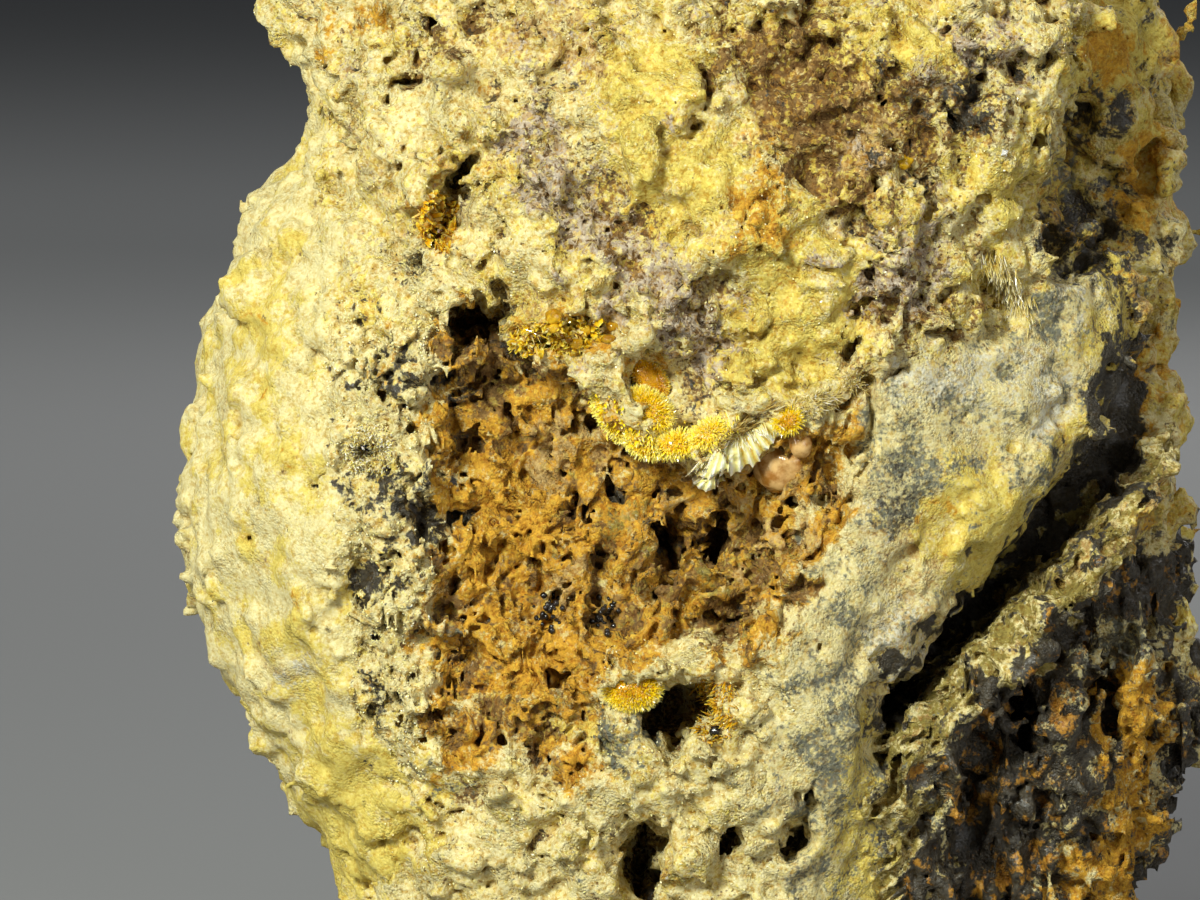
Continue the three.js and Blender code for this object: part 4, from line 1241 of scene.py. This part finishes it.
class Crystals:
    """Needles, blades and beads, gathered into one mesh. All lengths are in mm.

    Where a length or a width is a pair, each crystal's own is drawn between the two.
    """

    def __init__(self, seed):
        self.rng = np.random.default_rng(seed)
        self.points, self.faces, self.along, self.shade = [], [], [], []
        self.count = 0

    def take(self, points, faces, along, shade):
        self.points.append(points)
        self.faces.append(faces + self.count)
        self.along.append(along)
        self.shade.append(shade)
        self.count += len(points)

    def strands(self, root, way, length, width, scale=1.0, sides=3, flat=1.0, bend=0.12, blunt=0.0,
                thin=False, tone=(0, 1)):
        """Tapered needles from root along way. flat narrows them one way; blunt keeps their tips wide.

        scale multiplies each length. thin ones have one ring fewer. tone is how pale their roots
        and tips are, 0 to 1.
        """
        n, rng = len(root), self.rng
        length = (rng.uniform(*length, n) * scale)[:, None]
        width = rng.uniform(*width, n)[:, None]
        low, high = (np.broadcast_to(t, n) for t in tone)
        way, side, other = self.frames(way)
        sway = side * rng.normal(0, bend, (n, 1)) * length
        # Each ring's height and width along a needle.
        levels = ((-0.15, 1.0), (0.6, 0.85)) if thin else (
            (-0.15, 1.0), (0.45, 0.95), (0.85, 0.6 + 0.4 * blunt))
        rings, along = [], []
        for t, wide in levels:
            middle = root + way * length * t + sway * t * t
            for i in range(sides):
                turn = 2 * math.pi * i / sides
                out = side * math.cos(turn) + other * flat * math.sin(turn)
                rings.append(middle + out * width * wide / 2)
                along.append(low + (high - low) * max(t, 0))
        rings.append(root + way * length + sway)
        along.append(high)
        points = np.stack(rings, 1).reshape(-1, 3)
        per = len(rings)
        faces = self.needle_faces(sides, len(levels))
        index = (np.array(faces)[None] + per * np.arange(n)[:, None, None]).reshape(-1, 3)
        shade = np.repeat(rng.random(n), per)
        self.take(points, index, np.stack(along, 1).ravel(), shade)

    def frames(self, way):
        """way with a length of 1, and two random directions across it."""
        way = way / np.linalg.norm(way, axis=1, keepdims=True)
        side = np.cross(way, self.rng.standard_normal(way.shape))
        side /= np.linalg.norm(side, axis=1, keepdims=True)
        return way, side, np.cross(way, side)

    @staticmethod
    def needle_faces(sides, levels):
        """One needle's triangles: its foot, its sides and its tip."""
        faces = [[i, j, 0] for i, j in zip(range(2, sides), range(1, sides - 1))]
        for level in range(levels - 1):
            for i in range(sides):
                a, b = level * sides + i, level * sides + (i + 1) % sides
                faces += [[a, b, b + sides], [a, b + sides, a + sides]]
        last, tip = (levels - 1) * sides, levels * sides
        return faces + [[last + i, last + (i + 1) % sides, tip] for i in range(sides)]

    def tuft(self, count, area, base, spread, length, width, jitter=0.2, **shape):
        """Needles that stand in an ellipse [x, z, radius, radius, tilt in degrees] of the surface.

        base is their middle direction, and spread turns those near the edge outwards.
        """
        x, z, rx, rz, tilt = area
        turn = self.rng.uniform(0, 2 * math.pi, count)
        r = np.sqrt(self.rng.uniform(0, 1, count))
        a, b = r * np.cos(turn), r * np.sin(turn)
        px, pz = turned(a * rx, b * rz, tilt)
        px, pz = x + px, z + pz
        root = np.stack([px, surfaces(px, pz) + SINK, pz], 1)
        out_x, out_z = turned(a, b, tilt)
        outward = np.stack([out_x, np.zeros(count), out_z], 1)
        way = np.array(base) + spread * outward + jitter * self.rng.standard_normal((count, 3))
        self.strands(root, way, length, width, **shape)

    def spray(self, count, middle, turn, lift, length, width, jitter=0.12, **shape):
        """Needles that fan out from one point: turn is a range of angles in the front view."""
        x, z = middle
        angle = np.radians(self.rng.uniform(*turn, count))
        raised = self.rng.uniform(*lift, count)
        way = np.stack([np.cos(angle), -raised, np.sin(angle)], 1)
        way = way + jitter * self.rng.standard_normal((count, 3))
        root = np.array([x, surface(x, z) - SINK, z]) + 0.1 * self.rng.standard_normal((count, 3))
        self.strands(root, way, length, width, **shape)

    def hang(self, count, route, base, length, width, jitter=0.15, scatter=0.1, **shape):
        """Needles rooted along a route of [x, z] points."""
        rng = self.rng
        route = np.array(route, float)
        steps = np.concatenate([[0], np.cumsum(np.hypot(*np.diff(route, axis=0).T))])
        at = rng.uniform(0, steps[-1], count)
        px = np.interp(at, steps, route[:, 0]) + scatter * rng.standard_normal(count)
        pz = np.interp(at, steps, route[:, 1]) + scatter * rng.standard_normal(count)
        root = np.stack([px, surfaces(px, pz) + SINK, pz], 1)
        way = np.array(base) + jitter * rng.standard_normal((count, 3))
        self.strands(root, way, length, width, **shape)

    def grow(self, count, area, length, width, lean=(0, 0, 0), jitter=0.3, **shape):
        """Needles that stand on the rock's own slopes in an ellipse [x, z, radius, radius, tilt]."""
        x, z, rx, rz, tilt = area
        along, across = turned(FACE_POINTS[:, 0] - x, FACE_POINTS[:, 2] - z, -tilt)
        inside = np.nonzero((along / rx) ** 2 + (across / rz) ** 2 < 1)[0]
        picked = self.rng.choice(inside, count)
        root = FACE_POINTS[picked] + 0.06 * self.rng.standard_normal((count, 3))
        way = FACE_NORMALS[picked] + np.array(lean) + jitter * self.rng.standard_normal((count, 3))
        self.strands(root, way, length, width, **shape)

    def sheet(self, line, turn, reach, ribs, rise, tone):
        """A silky ribbed sheet that hangs from a line of two [x, z] points.

        turn is its first and last rib's angle, reach how long the ribs are from first to last, and
        tone how pale its furrows and its ribs are.
        """
        across, out = ribs * RIB_STEPS + 1, 9
        part = np.linspace(0, 1, across)[:, None]
        angle = np.radians(turn[0] + (turn[1] - turn[0]) * part)
        t = np.linspace(0, 1, out)[None, :]
        column = np.arange(across)
        wave = 0.5 + 0.5 * np.cos(column * 2 * math.pi / RIB_STEPS)[:, None]
        ragged = 1 + 0.07 * self.rng.standard_normal(ribs + 1)[column // RIB_STEPS][:, None]
        length = np.interp(part, np.linspace(0, 1, len(reach)), reach) * ragged * (0.92 + 0.08 * wave)
        (x0, z0), (x1, z1) = line
        px = x0 + (x1 - x0) * part + np.cos(angle) * t * length
        pz = z0 + (z1 - z0) * part + np.sin(angle) * t * length
        face = surfaces(px.ravel(), pz.ravel()).reshape(px.shape)
        base = np.minimum(face[:, :1] + 0.3 * t, face - 0.08)
        py = base - rise * np.sin(t * 2.4) - 0.16 * wave * np.sin(t * math.pi * 0.9)
        top = np.stack([px, py, pz], -1).reshape(-1, 3)
        along = tone[0] + (tone[1] - tone[0]) * wave * (0.5 + 0.5 * t)
        self.take(np.concatenate([top, top + (0, 0.1, 0)]), self.sheet_faces(across, out),
                  np.tile(along.ravel(), 2), np.full(2 * len(top), 0.3))

    @staticmethod
    def sheet_faces(across, out):
        """The triangles of a thin sheet with a front, a back and a rim between them."""
        faces, n = [], across * out
        for i in range(across - 1):
            for j in range(out - 1):
                a, b = i * out + j, (i + 1) * out + j
                faces += [(a, a + 1, b + 1), (a, b + 1, b)]
                faces += [(n + a, n + b + 1, n + a + 1), (n + a, n + b, n + b + 1)]
        rim = [i * out for i in range(across)] + [(across - 1) * out + j for j in range(1, out)]
        rim += [i * out + out - 1 for i in range(across - 2, -1, -1)] + list(range(out - 2, 0, -1))
        for a, b in zip(rim, rim[1:] + rim[:1]):
            faces += [(a, b, n + b), (a, n + b, n + a)]
        return np.array(faces)

    def bead(self, middle, radii, lumps=0.1, detail=3):
        """A rounded bead with shallow lumps."""
        unit, faces = ball(detail)
        seat = np.array(middle, float)
        bump = noise((unit * 1.3 + seat).astype(np.float32), 1.1, 2)
        points = seat + unit * np.array(radii) * (1 + lumps * bump[:, None])
        self.take(points, faces, np.full(len(unit), 0.5), np.full(len(unit), self.rng.random()))

    def dome(self, middle, radii, tilt, count, length, width, tone=(0.1, 0.35), raised=0.0, detail=4):
        """A velvety dome at [x, z]: a smooth body set with short needles, pale round its edge.

        radii are along tilt, out of the rock and across. tone is how pale the middle's roots and
        tips are.
        """
        x, z = middle
        rng = self.rng

        def placed(v):
            side, up = turned(v[:, 0], v[:, 2], tilt)
            return np.stack([side, v[:, 1], up], 1)

        around = np.radians(np.arange(0, 360, 45))
        rim = placed(np.stack([radii[0] * np.cos(around), 0 * around, radii[2] * np.sin(around)], 1))
        seat = np.array([x, np.median(surfaces(x + rim[:, 0], z + rim[:, 2])) - raised, z])
        unit, faces = ball(detail)
        bump = 1 + 0.05 * noise((unit * 1.3 + seat).astype(np.float32), 1.1, 2)[:, None]
        edge = np.hypot(unit[:, 0], unit[:, 2])
        self.take(seat + placed(unit * np.array(radii) * bump), faces, tone[0] + 0.3 * edge ** 4,
                  np.full(len(unit), 0.2))
        turn, out = rng.uniform(0, 2 * math.pi, count), rng.uniform(-0.1, 1, count)
        edge = np.sqrt(1 - out ** 2)
        unit = np.stack([edge * np.cos(turn), -out, edge * np.sin(turn)], 1)
        root = seat + placed(unit * np.array(radii) * 0.97)
        way = placed(unit / np.array(radii)) * np.mean(radii) + 0.22 * rng.standard_normal((count, 3))
        paler = 0.6 * edge ** 4
        self.strands(root, way, length, width, 0.7 + 0.8 * edge ** 2, thin=True,
                     tone=(tone[0] + 0.5 * paler, tone[1] + paler))

    def grains(self, points, size, stretch=1.6):
        """Small eight-sided crystals at points, turned at random."""
        n, rng = len(points), self.rng
        size = rng.uniform(*size, n)[:, None]
        way, side, other = self.frames(rng.standard_normal((n, 3)))
        corners = [way * stretch, -way * stretch, side, -side, other, -other]
        around = [2, 4, 3, 5]
        faces = [[0, around[i], around[(i + 1) % 4]] for i in range(4)]
        faces += [[1, around[(i + 1) % 4], around[i]] for i in range(4)]
        index = (np.array(faces)[None] + 6 * np.arange(n)[:, None, None]).reshape(-1, 3)
        points = np.stack([points + size * c for c in corners], 1).reshape(-1, 3)
        self.take(points, index, np.full(6 * n, 0.5), np.repeat(rng.random(n), 6))

    def build(self, name, node, material, smooth=False):
        """Makes the piece, with how far along and how pale each of its points is."""
        piece = mesh_object(name, np.concatenate(self.points), np.concatenate(self.faces), smooth)
        for layer, values in (("along", self.along), ("shade", self.shade)):
            made = piece.data.attributes.new(layer, "FLOAT", "POINT")
            made.data.foreach_set("value", np.concatenate(values).astype(np.float32))
        finish_piece(piece, [node], material)
        return piece


def fibre_finish(name, root, middle, tip, pale, roughness=0.3, clear=0.0):
    """Silky crystal: deep at the root, partly its own colour and partly painted shade where the strands
    crowd, light at the tip, each strand a little different.
    """
    f = Finish(name)
    along, shade = f.mask("along"), f.mask("shade")
    stray = f.centred(f.channels(f.noise(0.25, 2.0))[0])
    height = f.sum(along, f.product(stray, 0.5), clamp=True)
    body = f.mix(f.step(height, 0.0, 0.45), colour(root), colour(middle))
    body = f.mix(f.step(height, 0.5, 1.0), body, colour(tip))
    base = f.mix(f.step(shade, 0.7, 1.0, 0.0, 0.7), body, colour(pale))
    f.set(Base_Color=base, Roughness=roughness, IOR=1.6, Transmission_Weight=clear,
          Subsurface_Weight=0.3, Subsurface_Radius=(0.5, 0.35, 0.1), Subsurface_Scale=0.5 * MM)
    return f.material


def glassy_finish(name, deep, light, roughness=0.12, clear=0.6):
    """Smooth, more or less clear crystal, in two clouded shades."""
    f = Finish(name)
    cloud = f.noise(0.7, 4.0).outputs[0]
    base = f.mix(f.step(cloud, 0.35, 0.65), colour(deep), colour(light))
    bump = f.bump(f.noise(0.35, 3.0).outputs[0], 0.5, 0.08)
    f.set(Base_Color=base, Roughness=roughness, IOR=1.55, Transmission_Weight=clear, Normal=bump)
    return f.material


# The crystals' own materials.
gold = fibre_finish("golden_fibre", "#CC8C04", "#FFDA1C", "#FFEE6C", "#FFF8B4", 0.24)
druse_gold = fibre_finish("druse_gold", "#B8760A", "#F2BE1C", "#FFEC66", "#FFFAC0", 0.1, 0.1)
amber = fibre_finish("amber_blade", "#94560A", "#E8A614", "#FCDC4C", "#FFF2A0", 0.12, 0.12)
silk = fibre_finish("silky_fibre", "#C8A028", "#EBDC8C", "#FFFBE4", "#FFFFFF", 0.2)
straw = fibre_finish("straw_needle", "#8A6A28", "#CBB05C", "#EFE0A0", "#FFFBE4", 0.3)
ledge = fibre_finish("ledge_fibre", "#5E3E14", "#9C7832", "#D6BC72", "#F4E6B0", 0.35)
amber_glass = glassy_finish("amber_glass", "#A8700A", "#F6C428", 0.08, 0.3)
brown_glass = glassy_finish("brown_glass", "#A56C28", "#E2B877", 0.16, 0.12)
black_oxide = glassy_finish("black_oxide", "#0C0A09", "#2A2420", 0.22, 0.0)
white_crystal = glassy_finish("white_crystal", "#F4F1E6", "#FFFFFF", 0.1, 0.5)
sugar = fibre_finish("sugar_grain", "#C8A850", "#EFE2A0", "#F6EDBC", "#FFFBE0", 0.3)


def golden_druse():
    c = Crystals(11)
    c.grow(900, (-6.45, 35.3, 2.45, 1.0, 8), (0.2, 0.5), (0.2, 0.42), (0, -0.4, 0.15), 0.5,
           flat=0.35, blunt=0.6, tone=(0.25, 0.85))
    c.grow(500, (-7.6, 35.2, 1.3, 0.85, 0), (0.35, 0.75), (0.07, 0.14), (0.2, -0.5, 0.2), 0.6, flat=0.35)
    c.build("golden_blades", "golden_druse", druse_gold)
    c = Crystals(25)
    c.bead((-6.8, surface(-6.8, 36.35) - 0.15, 36.35), (0.42, 0.4, 0.4), 0.06)
    for _ in range(18):
        x, z = c.rng.normal(-6.2, 1.1), c.rng.normal(35.3, 0.3)
        r = c.rng.uniform(0.12, 0.26)
        c.bead((x, surface(x, z) - 0.1, z), (r * 1.3, r, r), 0.15, 2)
    c.build("golden_beads", "golden_druse", amber_glass, True)


def amber_pocket():
    c = Crystals(12)
    c.dome((-2.0, 33.1), (1.15, 0.4, 0.7), -50, 700, (0.06, 0.16), (0.05, 0.09), (0.3, 0.55), -0.25)
    c.build("amber_blades", "amber_pocket", amber)


def silky_curtain():
    c = Crystals(13)
    c.dome((-2.15, 31.6), (1.3, 0.85, 0.85), -32, 1700, (0.14, 0.3), (0.05, 0.09), (0.15, 0.5), 0.1)
    for x, z, long, tilt, count in ((-3.8, 31.2, 1.5, -55, 800), (-2.2, 29.9, 1.0, -20, 600),
                                    (-0.7, 29.9, 1.0, 5, 600), (0.9, 30.4, 0.95, 30, 600)):
        c.dome((x, z), (long, 0.6, 0.6), tilt, count, (0.12, 0.28), (0.07, 0.14), (0.15, 0.8), 0.1, 3)
    c.grow(500, (-3.75, 31.05, 1.8, 0.8, -52), (0.14, 0.32), (0.1, 0.18), (0, -0.3, -0.2), 0.4, blunt=0.6,
           thin=True, tone=(0.1, 0.75))
    c.hang(500, [(-2.9, 30.2), (-1.8, 29.9), (-0.4, 30), (0.9, 30.4), (1.9, 31)],
           (0.1, -0.8, -0.6), (0.3, 0.6), (0.07, 0.13), 0.3, scatter=0.3, thin=True, tone=(0.2, 1))
    for count, middle, turn, length in (
            (130, (-1.45, 29.35), (15, 150), (0.8, 1.4)), (150, (0.85, 30.35), (-180, 180), (0.4, 0.75)),
            (110, (-0.2, 29.7), (10, 160), (0.7, 1.1)), (90, (-2.7, 29.9), (30, 150), (0.6, 1.1))):
        c.spray(count, middle, turn, (0.5, 1.1), length, (0.07, 0.14), flat=0.5, blunt=0.3, tone=(0.25, 1))
    c.build("curtain_fibres", "silky_curtain", gold)


def fibre_fan():
    c = Crystals(14)
    c.sheet(((0.5, 29.05), (2.35, 30.1)), (-138, -82), (1.0, 1.6, 1.5), 6, 0.4, (0.5, 1.0))
    c.sheet(((0.55, 28.3), (1.5, 28.45)), (-150, -60), (0.5, 0.75, 0.6), 4, 0.35, (0.5, 1.0))
    c.sheet(((2.25, 30.05), (4.05, 31.15)), (-78, -32), (1.45, 1.25, 0.8), 6, 0.3, (0.1, 1.0))
    c.hang(90, [(0.6, 29.1), (2.3, 30.1)], (-0.45, -0.6, -0.9), (0.5, 1.1), (0.05, 0.09), 0.15, tone=(0.6, 1))
    c.hang(80, [(2.3, 30.1), (4.0, 31.1)], (0.4, -0.6, -0.8), (0.4, 0.9), (0.05, 0.09), 0.15, tone=(0.3, 1))
    c.build("fan_fibres", "fibre_fan", silk)
    c = Crystals(28)
    c.hang(420, [(0.4, 29.15), (1.6, 30.1), (2.9, 30.95), (4.2, 31.75)], (0.75, -0.45, 0.55), (0.4, 0.9),
           (0.06, 0.12), 0.16, scatter=0.14, flat=0.5)
    c.build("ledge_fibres", "fibre_fan", ledge)
    c = Crystals(26)
    c.dome((4.85, 31.1), (0.65, 0.4, 0.5), 25, 420, (0.12, 0.28), (0.05, 0.09), (0.05, 0.3), 0.05)
    c.build("fan_nest", "fibre_fan", gold)


def vein_needles():
    c = Crystals(15)
    c.tuft(300, (6.2, 32.0, 1.3, 0.45, 15), (0.5, -0.5, 0.1), 0.4, (0.3, 0.7), (0.04, 0.07), 0.4, thin=True)
    c.tuft(260, (8.3, 33.0, 0.7, 0.6, 0), (0.1, -0.8, 0), 0.6, (0.25, 0.5), (0.04, 0.07), 0.4, thin=True)
    c.build("vein_needles_fine", "vein_needles", straw)


def hanging_brush():
    c = Crystals(16)
    c.hang(420, [(15, 39), (15.6, 38.2), (16.2, 37.4), (16.8, 36.4)], (0.1, -0.35, -0.9), (0.4, 0.9),
           (0.06, 0.12), 0.2, scatter=0.35, flat=0.5)
    c.build("brush_needles", "hanging_brush", straw)


def upper_left_lining():
    c = Crystals(17)
    c.grow(420, (-12.6, 40.9, 0.9, 1.5, 10), (0.25, 0.6), (0.14, 0.34), (0, -0.3, 0), 0.4,
           flat=0.3, blunt=0.5)
    c.build("lining_blades", "upper_left_lining", amber)


def orange_tuft():
    c = Crystals(18)
    c.dome((-2.85, 17.6), (1.3, 0.8, 0.95), 5, 1900, (0.12, 0.3), (0.05, 0.09), (0.1, 0.4), 0.15)
    c.build("tuft_velvet", "orange_tuft", gold)


def cavity_crystals():
    c = Crystals(19)
    c.grow(700, (1.3, 16.5, 1.2, 1.7, 0), (0.25, 0.6), (0.07, 0.15), (-0.2, -0.4, 0), 0.45, flat=0.5)
    c.build("cavity_blades", "cavity_crystals", amber)
    c = Crystals(27)
    c.bead((1.25, surface(1.25, 15.5) - 0.1, 15.5), (0.28, 0.26, 0.3))
    c.build("cavity_bead", "cavity_crystals", black_oxide, True)


def left_cup():
    c = Crystals(20)
    c.grow(1100, (-16.0, 29.6, 1.3, 1.5, 0), (0.15, 0.32), (0.05, 0.1), (0, -0.2, 0), 0.3, thin=True)
    c.build("cup_fibres", "left_cup", silk)


def glassy_bulb():
    c = Crystals(21)
    low, high = (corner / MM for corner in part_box("glassy_bulb"))
    c.bead((low + high) / 2 - Vector((0.1, 0.4, 0)), (1.5, 1.2, 1.4), 0.05, 4)
    c.bead((5.5, surface(5.5, 29.9) - 0.3, 29.9), (0.6, 0.7, 0.8), 0.05, 3)
    c.build("glassy_bulb_clear", "glassy_bulb", brown_glass, True)


def black_beads():
    for node, x, z in (("black_beads_left", -7.1, 21.2), ("black_beads_right", -4.3, 21.0)):
        c = Crystals(22)
        for _ in range(40):
            a, b = c.rng.normal(0, 0.34, 2)
            r = c.rng.uniform(0.07, 0.18)
            c.bead((x + a, surface(x + a, z + b) - 0.2 * r, z + b), (r, r, r), 0.1, 2)
        c.build(node + "_botryoidal", node, black_oxide, True)


def yellow_bead():
    c = Crystals(23)
    c.bead((10.6, surface(10.6, 43.9) - 0.1, 43.9), (0.42, 0.4, 0.36), 0.12)
    c.build("yellow_bead_round", "yellow_bead", amber_glass, True)


def white_grain():
    c = Crystals(24)
    c.grains(np.array([[15.6, surface(15.6, 44.4) - 0.15, 44.4]]), (0.22, 0.24), 1.3)
    c.build("white_grain_clear", "white_grain", white_crystal)


def mask_of(piece, name):
    """A rock piece's mask of one pigment."""
    values = np.zeros(len(piece.data.vertices), np.float32)
    piece.data.attributes[name].data.foreach_get("value", values)
    return values


SUGAR_GRAINS = 5000


def sugar_grains():
    """Tiny crystals strewn over the crust, the left wall and the lower part, but not on dark ground."""
    c = Crystals(32)
    dusted = [piece for piece in rock_pieces if piece.name in ("rock_crust", "rock_left_wall", "rock_lower")]
    for piece in dusted:
        points, normals = points_of(piece), normals_of(piece)
        light = (mask_of(piece, "dark") < 0.3) & (mask_of(piece, "umber") < 0.45)
        allowed = np.nonzero(light & (ROCK_GRID.at(points) > -0.9))[0]
        chosen = c.rng.choice(allowed, SUGAR_GRAINS // len(dusted), replace=False)
        c.grains(points[chosen] + 0.02 * normals[chosen], (0.03, 0.07))
    c.build("sugar_grains", ROCK, sugar)


for make in (golden_druse, amber_pocket, silky_curtain, fibre_fan, vein_needles, hanging_brush,
             upper_left_lining, orange_tuft, cavity_crystals, left_cup, glassy_bulb, black_beads,
             yellow_bead, white_grain, sugar_grains):
    make()

# ================================================================ the stage, the light and the camera
LOOK_AT = Vector((-4.5, -16, 29.5)) * MM
CAMERA_DISTANCE = 400 * MM
VIEW_WIDTH = 60 * MM  # at the point that the camera looks at
ELEVATION = math.radians(4)
FLOOR_RINGS = (0.5, 2.0, 4.4)  # the radii of the floor's rings, in metres
WORLD_STRENGTH = 0.05


def front_camera():
    away = Vector((0, -math.cos(ELEVATION), math.sin(ELEVATION)))
    camera = bpy.data.objects.new("camera", bpy.data.cameras.new("camera"))
    bpy.context.collection.objects.link(camera)
    camera.location = LOOK_AT + away * CAMERA_DISTANCE
    camera.rotation_euler = (-away).to_track_quat("-Z", "Y").to_euler()
    camera.data.lens = camera.data.sensor_width * CAMERA_DISTANCE / VIEW_WIDTH
    camera.data.clip_start = 0.01
    bpy.context.scene.camera = camera


def floor_finish():
    """Plain grey, lighter further away, where less light falls."""
    f = Finish("studio_floor")
    reach = f.add("ShaderNodeVectorMath", {0: f.place}, operation="LENGTH").outputs["Value"]
    grey = f.step(reach, 0.15, 1.2, 0.21, 0.5)
    plain = f.add("ShaderNodeCombineColor", {i: grey for i in range(3)})
    f.set(Base_Color=plain.outputs[0], Roughness=0.9)
    return f.material


def studio_floor():
    """A plain round floor, large enough to reach past every view."""
    turn = np.linspace(0, 2 * math.pi, 97)[:-1]
    points = np.array([(r * math.cos(t), r * math.sin(t), 0.0) for r in FLOOR_RINGS for t in turn]) / MM
    n = len(turn)
    faces = [(ring * n + i, (ring + 1) * n + i, (ring + 1) * n + (i + 1) % n, ring * n + (i + 1) % n)
             for ring in range(len(FLOOR_RINGS) - 1) for i in range(n)]
    faces += [(i + 1, n - 2 - i, n - 1 - i, i) for i in range(n // 2 - 1)]
    sheet = mesh_object("studio_floor", points, np.array(faces), False)
    sheet.data.materials.append(floor_finish())


def area_light(name, direction, distance, size, power, tint):
    """A round lamp that looks at the middle of the view. Lengths are in metres, power in watts."""
    light = bpy.data.lights.new(name, "AREA")
    light.shape, light.size, light.energy, light.color = "DISK", size, power, tint
    lamp = bpy.data.objects.new(name, light)
    bpy.context.collection.objects.link(lamp)
    towards = Vector(direction).normalized()
    lamp.location = LOOK_AT + towards * distance
    lamp.rotation_euler = towards.to_track_quat("Z", "Y").to_euler()


def studio_world():
    """A faint even light from all round."""
    world = bpy.data.worlds.new("studio")
    world.use_nodes = True
    background = world.node_tree.nodes["Background"].inputs
    background["Color"].default_value = (0.9, 0.95, 1.0, 1)
    background["Strength"].default_value = WORLD_STRENGTH
    bpy.context.scene.world = world


front_camera()
studio_floor()
area_light("key", (-0.38, -0.88, 0.45), 0.5, 0.12, 3.4, (0.95, 1.0, 0.91))
area_light("fill", (0.8, -0.9, 0.1), 0.6, 0.4, 1.2, (0.96, 0.98, 1.0))
area_light("back", (0.5, 0.9, 0.7), 0.6, 0.4, 1.3, (1.0, 1.0, 1.0))
area_light("side", (-0.9, -0.45, 0.06), 0.6, 0.1, 0.45, (1.0, 1.0, 0.95))
area_light("ceiling", (0, 0, 1), 1.5, 2.0, 8.0, (0.98, 1.0, 1.0))
studio_world()
bpy.context.scene.view_settings.view_transform = "Standard"
